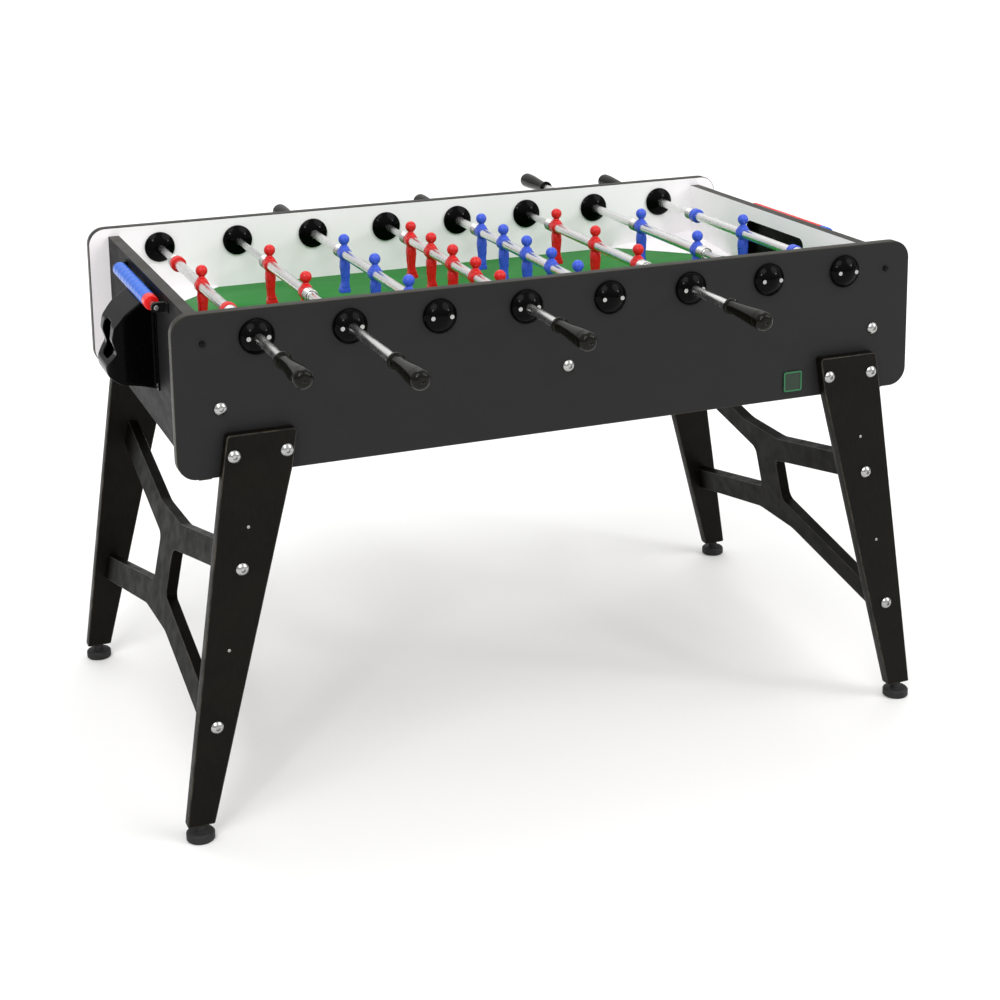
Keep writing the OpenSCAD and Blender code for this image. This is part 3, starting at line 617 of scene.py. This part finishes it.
def make_playing_surface(settings):
    """The green board, the white corner ramps, the battens below and the black goal chutes."""
    green = playing_surface("green field", settings.field)
    core = raw_board("fibre board", settings.field_edge)
    obj = finish_node("playfield", green, core)
    paint_faces(obj, lambda normal, place: 0 if normal.z > 0.9 else 1)
    ramps = finish_node("corner_ramps", laminate("ramp laminate", settings.inside, 0.34))
    soften(ramps, 0.5 * MM)
    finish_node("field_battens", raw_board("spruce batten", (0.45, 0.28, 0.13)))
    black = moulded("chute black", (0.0012, 0.0012, 0.0012), 0.42, gloss=0.06, dust=0.06)
    soften(finish_node("goal_chutes", black), 0.5 * MM)


# ---------------------------------------------------------------- rods


class Rod:
    """Where one rod and what sits on it are, read from the CAD nodes' boxes."""

    def __init__(self, name):
        self.name = name
        self.team, self.kind = name.split("_")
        tube_low, tube_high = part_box(f"{name}_tube")
        men_low, men_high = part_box(f"{name}_men")
        grip_low, grip_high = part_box(f"{name}_handle")
        # the rod's middle lies halfway along its men, and its axis halfway across the tube
        self.centre = Vector((
            (tube_low.x + tube_high.x) / 2, (men_low.y + men_high.y) / 2, (tube_low.z + tube_high.z) / 2
        ))
        # -1 where the handle is at the front
        self.side = -1.0 if grip_low.y + grip_high.y < 0 else 1.0
        far = tube_high.y if self.side < 0 else -tube_low.y
        self.half = far + self.side * self.centre.y
        self.men_half = (men_high.y - men_low.y) / 2
        near_face = grip_high.y if self.side < 0 else grip_low.y
        self.neck = self.side * (near_face - self.centre.y)
        self.grip_length = grip_high.y - grip_low.y
        self.grip_radius = (grip_high.x - grip_low.x) / 2
        self.body = f"{name}_rod"


TUBE_R = 9.0 * MM
SHAFT_R = 8.0 * MM
BORE_R = 6.25 * MM
SHAFT_IN_GRIP = 88.0 * MM
PLAYER_WIDTH = 24.0 * MM
COLLAR_WIDTH = 16.0 * MM
COLLAR_R = 14.0 * MM
SPRING_R = 12.0 * MM
SPRING_SPACE = 24.0 * MM
# clearance of a moulded piece on the tube or shaft it sits on
SLIP = 0.05 * MM


def make_rods(settings):
    """Chromed tubes with a stepped shaft, wire springs at both ends, and ground inner rods."""
    chrome = plated("rod chrome", (0.86, 0.86, 0.85), 0.20, 0.32)
    wire = plated("spring wire", (0.62, 0.62, 0.60), 0.18, 0.30, along=(1.0, 1.0, 1.0))
    ground = plated("ground steel", (0.66, 0.66, 0.66), 0.16, 0.28)
    edge = settings.tube_edge
    for name in RODS:
        rod = Rod(name)
        inner = -rod.half
        # distances run from the rod's middle towards the handle
        outline = [
            (inner + edge, TUBE_R), (rod.half - edge, TUBE_R), (rod.half, TUBE_R - edge),
            (rod.half, SHAFT_R + edge / 2), (rod.half + edge / 2, SHAFT_R),
            (rod.neck + SHAFT_IN_GRIP - edge, SHAFT_R), (rod.neck + SHAFT_IN_GRIP, SHAFT_R - edge),
            (rod.neck + SHAFT_IN_GRIP, BORE_R), (inner, BORE_R), (inner, TUBE_R - edge),
        ]
        mesh = turned(f"{name}_rod_tube", rod.centre, outline, direction=rod.side, hollow=True)
        new_piece(f"{name}_rod_tube", mesh, chrome, "tube_chrome", rod.body, f"{name}_tube")
        for end, start in (("front", -rod.half), ("back", rod.half - SPRING_SPACE)):
            coil = helix(
                f"{name}_spring_{end}", rod.centre, rod.centre.y + start, SPRING_SPACE,
                SPRING_R - settings.spring_wire / 2, settings.spring_wire, settings.spring_turns,
            )
            new_piece(f"{name}_spring_{end}", coil, wire, "tube_chrome", rod.body)
        finish_node(f"{name}_inner_rod", ground)


# ---------------------------------------------------------------- players


def player_form():
    """A player in millimetres: looking along +X, rod along Y through the chest at the origin."""
    form = bmesh.new()
    # trunk, from the shorts' hem to the neck
    loft(form, [
        (0, 0, -29, 8.8, 10.9, 3.0), (0, 0, -25, 9.3, 11.3, 2.8), (0, 0, -17, 9.2, 10.6, 2.6),
        (0, 0, -11, 8.3, 9.2, 2.4), (0.2, 0, -4, 9.2, 10.0, 2.4), (0.5, 0, 4, 10.4, 11.4, 2.4),
        (0.3, 0, 9.5, 9.6, 11.9, 2.3), (0, 0, 13, 7.6, 10.8, 2.2), (0, 0, 15.5, 5.4, 6.8, 2.1),
        (0, 0, 19, 4.4, 4.6, 2.0),
    ])
    # two legs that touch, down to the boots
    for side in (-1, 1):
        loft(form, [
            (0, side * 5.0, -22, 8.2, 5.6, 2.4), (0, side * 5.2, -32, 7.9, 5.6, 2.3),
            (-0.4, side * 5.0, -40, 7.4, 5.3, 2.3), (-0.2, side * 4.6, -49, 6.6, 4.7, 2.3),
            (0.3, side * 4.6, -56, 6.9, 4.9, 2.4), (1.2, side * 4.8, -62, 8.4, 5.0, 2.8),
        ])
    # the boots are one block, square to the ball
    loft(form, [
        (0.6, 0, -57, 6.2, 7.6, 2.6), (1.0, 0, -62, 8.2, 9.0, 3.2), (1.5, 0, -66, 10.0, 9.5, 4.0),
        (1.5, 0, -70, 10.4, 9.5, 4.5), (1.5, 0, -73, 10.2, 9.3, 4.5),
    ])
    # arms held against the sides
    for side in (-1, 1):
        loft(form, [
            (0, side * 8.2, 12.2, 3.0, 2.2, 2.0), (0, side * 9.4, 9.5, 3.9, 2.6, 2.0),
            (0.4, side * 9.7, 2, 3.8, 2.3, 2.0), (0.2, side * 9.4, -6, 3.3, 2.4, 2.0),
            (1.6, side * 9.2, -14, 3.0, 2.5, 2.0), (3.0, side * 9.0, -20, 3.2, 2.6, 2.0),
            (3.6, side * 8.8, -23.5, 2.3, 2.0, 2.0),
        ], points=14)
    # head, a little deeper than it is wide
    head_top, head_r = 37.0, 10.4
    turns = [math.pi * (0.04 + 0.92 * k / 12) for k in range(13)]
    loft(form, [
        (0.3, 0, head_top - head_r + 0.12 - head_r * math.cos(a), head_r * math.sin(a),
         head_r * 0.96 * math.sin(a), 2.0)
        for a in turns
    ], points=24)
    # boss round the rod
    skins = []
    sides = 32
    for y, radius in ((-10, 10.6), (-9, 11.8), (-7.5, 12.3), (7.5, 12.3), (9, 11.8), (10, 10.6)):
        skins.append([
            form.verts.new((
                radius * math.cos(math.tau * k / sides), y, radius * math.sin(math.tau * k / sides)
            ))
            for k in range(sides)
        ])
    bridge(form, skins)
    form.faces.new(skins[0])
    form.faces.new(reversed(skins[-1]))
    bmesh.ops.scale(form, vec=(MM, MM, MM), verts=form.verts)
    return form


def player_mesh(detail):
    """The player's parts merged into one smooth skin, with the bore for the rod."""
    merged = loose("player parts", mesh_of("player parts", player_form()))
    join = merged.modifiers.new("merge", "REMESH")
    join.mode = "VOXEL"
    join.voxel_size = detail
    calm = merged.modifiers.new("calm", "SMOOTH")
    calm.factor = 0.5
    calm.iterations = 4
    body = loose("player body", with_modifiers(merged, "player body"))
    reach = PLAYER_WIDTH
    r = TUBE_R + SLIP
    outline = [(-reach, 0), (-reach, r), (reach, r), (reach, 0)]
    rod = turned("bore", Vector((0, 0, 0)), outline, segments=40)
    cutter = loose("bore", rod)
    bore = body.modifiers.new("bore", "BOOLEAN")
    bore.operation = "DIFFERENCE"
    bore.solver = "EXACT"
    bore.object = cutter
    mesh = with_modifiers(body, "player")
    bpy.data.objects.remove(cutter)
    bpy.data.meshes.remove(rod)
    mesh.materials.clear()
    mesh.shade_smooth()
    mark_sharp(mesh, 50.0)
    return mesh


def make_players(settings, teams):
    """The men on their rods, and the keepers' stop collars."""
    finishes = {
        "red": moulded("red player", teams.red, 0.28, gloss=0.35, mottling=0.05),
        "blue": moulded("blue player", teams.blue, 0.28, gloss=0.35, mottling=0.05),
    }
    shape = player_mesh(settings.player_detail)
    shapes = {}
    for team, finish in finishes.items():
        shapes[team] = shape.copy()
        shapes[team].name = f"{team} player"
        shapes[team].materials.append(finish)
    bpy.data.meshes.remove(shape)
    for name in RODS:
        rod = Rod(name)
        count = PLAYERS_ON[rod.kind]
        spread = 0.0 if count == 1 else rod.men_half - PLAYER_WIDTH / 2
        for k in range(count):
            share = 0.0 if count == 1 else 2.0 * k / (count - 1) - 1.0
            player = bpy.data.objects.new(f"{name}_player_{k + 1}", shapes[rod.team])
            bpy.context.scene.collection.objects.link(player)
            turn = Matrix.Rotation(0.0 if rod.side < 0 else math.pi, 4, "Z")
            place = rod.centre + Vector((0.0, spread * share, 0.0))
            player.matrix_world = Matrix.Translation(place) @ turn
            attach(player, rod.body)
            if k == 0:
                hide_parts(f"{name}_men")
        if rod.kind == "keeper":
            for end, share in (("front", -1.0), ("back", 1.0)):
                middle_y = share * (rod.men_half - COLLAR_WIDTH / 2)
                make_collar(rod, end, middle_y, finishes[rod.team])


def make_collar(rod, end, along, finish):
    """A stop collar: a waisted rubber-like ring with rounded lips."""
    half, lip, waist = COLLAR_WIDTH / 2, 2.2 * MM, 0.9 * MM
    bore = TUBE_R + SLIP
    outline = [(-half, bore), (-half, COLLAR_R - lip)]
    outline += arc(-half + lip, COLLAR_R - lip, lip, 180, 90, 4)
    outline += [(-half * 0.25, COLLAR_R - waist), (half * 0.25, COLLAR_R - waist)]
    outline += arc(half - lip, COLLAR_R - lip, lip, 90, 0, 4)
    outline += [(half, bore)]
    centre = rod.centre + Vector((0.0, along, 0.0))
    mesh = turned(f"{rod.name}_collar_{end}", centre, outline, hollow=True)
    new_piece(f"{rod.name}_collar_{end}", mesh, finish, f"team_{rod.team}", rod.body)


# ---------------------------------------------------------------- handles


# a grip's sizes: its neck flange, the waist behind it, the flare and the rounded end
FLANGE_R = 12.4 * MM
FLANGE_LIP = 1.6 * MM
WAIST_R = 10.6 * MM
FLARE_FROM = 16.0 * MM
FLARE_SHORT_OF_END = 24.0 * MM
GRIP_END_R = 11.0 * MM
BORE_FLOOR = 1.0 * MM


def grip_outline(length, big):
    """The lathe outline of a grip, from the bottom of its bore round to the middle of its end."""
    bore = SHAFT_R + SLIP
    outline = [(SHAFT_IN_GRIP + BORE_FLOOR, 0.0), (SHAFT_IN_GRIP + BORE_FLOOR, bore)]
    outline += [(0.0, bore), (0.0, 12.2 * MM)]
    outline += arc(FLANGE_LIP, FLANGE_R, FLANGE_LIP, 180, 90, 4)
    outline += arc(4.2 * MM, FLANGE_R, FLANGE_LIP, 90, 0, 4)
    outline += [(6.6 * MM, 11.2 * MM), (9.0 * MM, WAIST_R), (13.0 * MM, 10.5 * MM)]
    flare_to = length - FLARE_SHORT_OF_END
    for k in range(17):
        t = k / 16
        # mostly an even cone, eased at both ends
        swell = 0.55 * t * t * (3.0 - 2.0 * t) + 0.45 * t
        outline.append((FLARE_FROM + (flare_to - FLARE_FROM) * t, WAIST_R + (big - WAIST_R) * swell))
    groove, groove_depth = flare_to + 3.0 * MM, 0.6 * MM
    outline += [
        (groove - 0.7 * MM, big), (groove - 0.3 * MM, big - groove_depth),
        (groove + 0.3 * MM, big - groove_depth), (groove + 0.7 * MM, big),
    ]
    outline += arc(length - GRIP_END_R, big - GRIP_END_R, GRIP_END_R, 90, 12, 12)
    # a shallow dimple in the end
    outline += [
        (length - 0.2 * MM, 4.4 * MM), (length - 0.9 * MM, 3.6 * MM),
        (length - 1.6 * MM, 1.8 * MM), (length - 1.8 * MM, 0.0),
    ]
    return outline


def make_handles():
    """Glossy black grips: a flange at the neck, a long flare, a groove and a rounded end."""
    gloss = moulded("grip black", (0.0034, 0.0031, 0.0014), 0.12, gloss=0.16, dust=0.06)
    for name in RODS:
        rod = Rod(name)
        outline = grip_outline(rod.grip_length, rod.grip_radius)
        face = rod.centre + Vector((0.0, rod.side * rod.neck, 0.0))
        mesh = turned(f"{name}_grip", face, outline, direction=rod.side, segments=64)
        new_piece(f"{name}_grip", mesh, gloss, "handle_black", rod.body, f"{name}_handle")


# ---------------------------------------------------------------- bearings, cups, counters


def make_bearings():
    """Glossy flanges on both faces of the side panels."""
    bearing = moulded("bearing black", (0.0008, 0.0008, 0.0008), 0.13, gloss=0.06, dust=0.04)
    obj = finish_node("rod_bearings", bearing)
    soften(obj, 0.7 * MM, angle=40.0)


CUP_DETAIL = 1.3 * MM


def make_cups():
    """The ball cups at both ends: the CAD shape given a new skin with softly rounded edges."""
    gloss = moulded("cup black", (0.0008, 0.0008, 0.0008), 0.16, gloss=0.04, dust=0.04)
    mould = loose("cup mould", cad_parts["ball_cups"].data.copy())
    seams = mould.modifiers.new("seams", "WELD")
    seams.merge_threshold = WELD_WITHIN
    skin = mould.modifiers.new("skin", "REMESH")
    skin.mode = "VOXEL"
    skin.voxel_size = CUP_DETAIL
    calm = mould.modifiers.new("calm", "SMOOTH")
    calm.factor = 0.5
    calm.iterations = 14
    lean = mould.modifiers.new("lean", "DECIMATE")
    lean.ratio = 0.35
    mesh = with_modifiers(mould, "ball cups")
    mesh.materials.clear()
    mesh.shade_smooth()
    new_piece("ball_cups_moulded", mesh, gloss, "cup_black", "cabinet", "ball_cups")


def make_counters(teams):
    """Score beads on steel rods in black brackets."""
    blue = moulded("blue bead", teams.bead_blue, 0.26)
    red = moulded("red bead", teams.bead_red, 0.26)
    for node, finish in (
        ("left_blue_beads", blue), ("right_blue_bead", blue),
        ("left_red_bead", red), ("right_red_beads", red),
    ):
        soften(finish_node(node, finish), 0.6 * MM)
    bracket = moulded("bracket black", (0.003, 0.003, 0.003), 0.4, gloss=0.12, dust=0.06)
    soften(finish_node("counter_brackets", bracket), 0.8 * MM)
    soften(finish_node("counter_rods", plated("counter steel", (0.60, 0.60, 0.60), 0.2, 0.32)), 0.6 * MM)


# ---------------------------------------------------------------- legs, fixings, badge


# the leg's middle line, measured out from its inner side at the knee and in from its outer side
# at the foot
KNEE_IN = 66.0 * MM
KNEE_ABOVE_PANEL = 8.0 * MM
FOOT_IN = 22.5 * MM
PIN_HEIGHTS = (0.514, 0.315)
# lathe outline of a pin, from inside the board to the middle of its low head
PIN_OUTLINE = (
    (-1.5 * MM, 0.0), (-1.5 * MM, 2.6 * MM), (0.0, 2.6 * MM), (0.3 * MM, 2.6 * MM),
    (0.7 * MM, 2.1 * MM), (0.85 * MM, 0.0),
)


def make_legs(settings):
    """Board legs with rubbed edges and small pins, and the darker end braces."""
    stained = leg_board("leg board", settings.leg_board)
    # painted highlight for the rounded edges of the legs and braces
    edge_highlight = painted_edge_highlight("board edge with painted highlight", settings.leg_board)
    # painted shade: the braces are the leg board at half its brightness
    plain = leg_board("brace board in painted shade", shade(settings.leg_board, 0.5), gloss=0.04)
    # the braces' rounded edges take the painted highlight too
    soften(finish_node("end_braces", plain, edge_highlight), 1.0 * MM, edge_material=1)
    pin = plated("pin steel", (0.34, 0.33, 0.30), 0.25, 0.40, along=(1.0, 1.0, 1.0))
    knee_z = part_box("side_panel_front")[0].z + KNEE_ABOVE_PANEL
    for corner in CORNERS:
        node = f"leg_{corner}"
        out = Vector((0.0, -1.0 if corner.startswith("front") else 1.0, 0.0))
        # the legs' rounding takes the painted highlight
        mesh = board(f"{node}_board", node, out, settings.leg_round, (stained, edge_highlight), (0, 0, 0, 1))
        new_piece(f"{node}_board", mesh, None, "leg_board", "cabinet", node)
        # two small pins on the leg's middle line, which runs from the knee to the foot
        low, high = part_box(node)
        side = -1.0 if corner.endswith("left") else 1.0
        reach = sorted((abs(low.x), abs(high.x)))
        knee_x, foot_x = reach[0] + KNEE_IN, reach[1] - FOOT_IN
        face_y = low.y if out.y < 0 else high.y
        for number, z in enumerate(PIN_HEIGHTS, 1):
            x = knee_x + (foot_x - knee_x) * (knee_z - z) / (knee_z - low.z)
            head = turned(
                f"{node}_pin_{number}", Vector((side * x, face_y, z)), PIN_OUTLINE,
                direction=out.y, segments=24,
            )
            new_piece(f"{node}_pin_{number}", head, pin, "bright_steel", "cabinet")


def make_feet():
    """Levelling pads on threaded stems."""
    pad = rubber("foot rubber", (0.010, 0.010, 0.010))
    for corner in CORNERS:
        soften(finish_node(f"foot_{corner}", pad), 0.8 * MM)


CAP_BELOW_TOP = 47.0 * MM


def make_fixings():
    """Dome-headed bolts, nuts, the small screws and the caps over the corner screws."""
    bolt = plated("bolt plating", (0.40, 0.40, 0.39), 0.16, 0.30, along=(1.0, 1.0, 1.0), marks=0.3)
    soften(finish_node("dome_bolts", bolt), 0.4 * MM, angle=40.0)
    black = moulded("black screw", (0.001, 0.001, 0.001), 0.16, gloss=0.12)
    screws = finish_node("small_screws", bolt, black)
    panel_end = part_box("end_panel_right")[0].x
    side_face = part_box("side_panel_back")[1].y
    paint_faces(screws, lambda normal, place: (
        1 if abs(place.x) > panel_end and abs(place.y) > side_face - 0.001 else 0
    ))
    # domed black caps, one at each upper corner of the side panels
    low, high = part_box("end_panel_right")
    across = (low.x + high.x) / 2
    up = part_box("side_panel_back")[1].z - CAP_BELOW_TOP
    outline = [(0.0, 0.0), (0.0, 5.0 * MM), (2.4 * MM, 5.0 * MM)]
    outline += arc(2.4 * MM, 3.6 * MM, 1.4 * MM, 90, 20, 4)
    outline += [(4.1 * MM, 2.0 * MM), (4.2 * MM, 0.0)]
    for corner in CORNERS:
        side = -1.0 if corner.startswith("front") else 1.0
        x = -across if corner.endswith("left") else across
        seat = Vector((x, side * side_face, up))
        cap = turned(f"screw_cap_{corner}", seat, outline, direction=side, segments=32)
        new_piece(f"screw_cap_{corner}", cap, black, "bright_steel", "cabinet")


def make_badge():
    """A plain dark green plate with a brighter raised rim."""
    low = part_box("badge")[0]
    plate = moulded("badge green", (0.0035, 0.0200, 0.0070), 0.25)
    rim = moulded("badge rim", (0.010, 0.120, 0.040), 0.25)
    obj = finish_node("badge", plate, rim)
    paint_faces(obj, lambda normal, place: 1 if place.y < low.y + 0.0002 and normal.y < -0.9 else 0)
    soften(obj, 0.3 * MM)


# ---------------------------------------------------------------- stage


def make_stage(settings):
    """A pale floor, soft lights and the camera."""
    span = 30.0
    form = bmesh.new()
    bmesh.ops.create_grid(form, x_segments=8, y_segments=8, size=span)
    floor = loose("floor", mesh_of("floor", form, smooth=False))
    floor.data.materials.append(floor_paint("floor paint", settings.floor))

    world = bpy.data.worlds.new("studio")
    bpy.context.scene.world = world
    world.use_nodes = True
    # a studio that is bright overhead and dimmer at eye level
    tree = world.node_tree
    place = tree.nodes.new("ShaderNodeTexCoord")
    split = tree.nodes.new("ShaderNodeSeparateXYZ")
    rise = tree.nodes.new("ShaderNodeMapRange")
    for socket, value in (("From Min", 0.05), ("From Max", 0.60), ("To Min", 0.50), ("To Max", 0.95)):
        rise.inputs[socket].default_value = value
    tree.links.new(place.outputs["Generated"], split.inputs["Vector"])
    tree.links.new(split.outputs["Z"], rise.inputs["Value"])
    tree.links.new(rise.outputs["Result"], tree.nodes["Background"].inputs["Strength"])
    tree.nodes["Background"].inputs["Color"].default_value = (1.0, 1.0, 1.0, 1.0)

    # wide far lights: heading from the front towards +X, height, apparent width, strength
    for name, heading, height, width, power in (
        ("key light", -38.0, 50.0, 34.0, 0.95),
        ("fill light", 52.0, 38.0, 36.0, 0.75),
        ("back light", 170.0, 60.0, 40.0, 0.70),
    ):
        heading, height = math.radians(heading), math.radians(height)
        lamp = bpy.data.lights.new(name, "SUN")
        lamp.angle = math.radians(width)
        lamp.energy = power
        obj = bpy.data.objects.new(name, lamp)
        bpy.context.scene.collection.objects.link(obj)
        towards = Vector((
            math.sin(heading) * math.cos(height), -math.cos(heading) * math.cos(height), math.sin(height)
        ))
        obj.location = towards * 4.0
        obj.rotation_euler = towards.to_track_quat("Z", "Y").to_euler()

    # small soft boxes for the glints on black plastic and chrome
    middle_of_table = Vector((0.0, 0.0, 0.6))
    for name, place, size, power in (
        ("left soft box", (-2.6, -3.4, 3.0), 0.40, 22.0),
        ("right soft box", (3.2, -2.6, 2.2), 0.36, 16.0),
    ):
        lamp = bpy.data.lights.new(name, "AREA")
        lamp.shape = "SQUARE"
        lamp.size = size
        lamp.energy = power
        obj = bpy.data.objects.new(name, lamp)
        bpy.context.scene.collection.objects.link(obj)
        obj.location = place
        obj.rotation_euler = (Vector(place) - middle_of_table).to_track_quat("Z", "Y").to_euler()

    turn, tilt, roll = settings.camera_turn, settings.camera_tilt, settings.camera_roll
    ahead = Vector((
        math.sin(turn) * math.cos(tilt), math.cos(turn) * math.cos(tilt), -math.sin(tilt)
    ))
    level = Vector((math.cos(turn), -math.sin(turn), 0.0))
    upright = level.cross(ahead)
    right = level * math.cos(roll) + upright * math.sin(roll)
    above = upright * math.cos(roll) - level * math.sin(roll)
    camera_data = bpy.data.cameras.new("camera")
    camera_data.sensor_width = 36.0
    camera_data.lens = settings.lens
    camera_data.shift_y = settings.shift
    camera_data.clip_end = 100.0
    camera = bpy.data.objects.new("camera", camera_data)
    bpy.context.scene.collection.objects.link(camera)
    camera.matrix_world = (
        Matrix.Translation(settings.camera_place)
        @ Matrix((right, above, -ahead)).transposed().to_4x4()
    )
    bpy.context.scene.camera = camera
    bpy.context.scene.view_settings.view_transform = "Standard"


# ---------------------------------------------------------------- operators


def operator(idname, label, text, work):
    """An operator class whose work is one of the functions above."""

    def execute(self, context):
        work(context.scene)
        return {"FINISHED"}

    return type(
        "FOOSBALL_OT_" + idname, (bpy.types.Operator,),
        {"bl_idname": "foosball." + idname, "bl_label": label, "__doc__": text, "execute": execute},
    )


OPERATORS = (
    operator("stage", "Stage", "Make the floor, lights and camera",
             lambda scene: make_stage(scene.foosball_stage)),
    operator("cabinet", "Cabinet", "Finish the panels of the cabinet",
             lambda scene: make_cabinet(scene.foosball_cabinet)),
    operator("playing_surface", "Playing Surface", "Finish the field, ramps, battens and chutes",
             lambda scene: make_playing_surface(scene.foosball_cabinet)),
    operator("rods", "Rods", "Make the tubes and springs and finish the inner rods",
             lambda scene: make_rods(scene.foosball_rods)),
    operator("players", "Players", "Make the players and stop collars",
             lambda scene: make_players(scene.foosball_rods, scene.foosball_teams)),
    operator("handles", "Handles", "Make the handles", lambda scene: make_handles()),
    operator("bearings", "Bearings", "Finish the rod bearings", lambda scene: make_bearings()),
    operator("cups", "Ball Cups", "Finish the ball cups", lambda scene: make_cups()),
    operator("counters", "Score Counters", "Finish the score counters",
             lambda scene: make_counters(scene.foosball_teams)),
    operator("legs", "Legs", "Finish the legs and braces",
             lambda scene: make_legs(scene.foosball_cabinet)),
    operator("feet", "Feet", "Finish the levelling feet", lambda scene: make_feet()),
    operator("fixings", "Fixings", "Finish the bolts and screws", lambda scene: make_fixings()),
    operator("badge", "Badge", "Finish the badge", lambda scene: make_badge()),
)

GROUPS = {
    "foosball_cabinet": CabinetFinish,
    "foosball_teams": TeamFinish,
    "foosball_rods": RodSizes,
    "foosball_stage": StageSettings,
}


class FOOSBALL_PT_table(bpy.types.Panel):
    """Lists the steps that finish the table"""

    bl_idname = "FOOSBALL_PT_table"
    bl_label = "Foosball Table"
    bl_space_type = "VIEW_3D"
    bl_region_type = "UI"
    bl_category = "Foosball"

    def draw(self, context):
        for step in OPERATORS:
            self.layout.operator(step.bl_idname)
        for name, group in GROUPS.items():
            box = self.layout.box()
            for setting in group.__annotations__:
                box.prop(getattr(context.scene, name), setting)


def register():
    for group in GROUPS.values():
        bpy.utils.register_class(group)
    for name, group in GROUPS.items():
        setattr(bpy.types.Scene, name, PointerProperty(type=group))
    for step in OPERATORS:
        bpy.utils.register_class(step)
    bpy.utils.register_class(FOOSBALL_PT_table)


def unregister():
    bpy.utils.unregister_class(FOOSBALL_PT_table)
    for step in reversed(OPERATORS):
        bpy.utils.unregister_class(step)
    for name, group in reversed(list(GROUPS.items())):
        delattr(bpy.types.Scene, name)
        bpy.utils.unregister_class(group)


def main():
    register()
    for step in OPERATORS:
        getattr(bpy.ops.foosball, step.bl_idname.split(".")[1])()


if __name__ == "__main__":
    main()
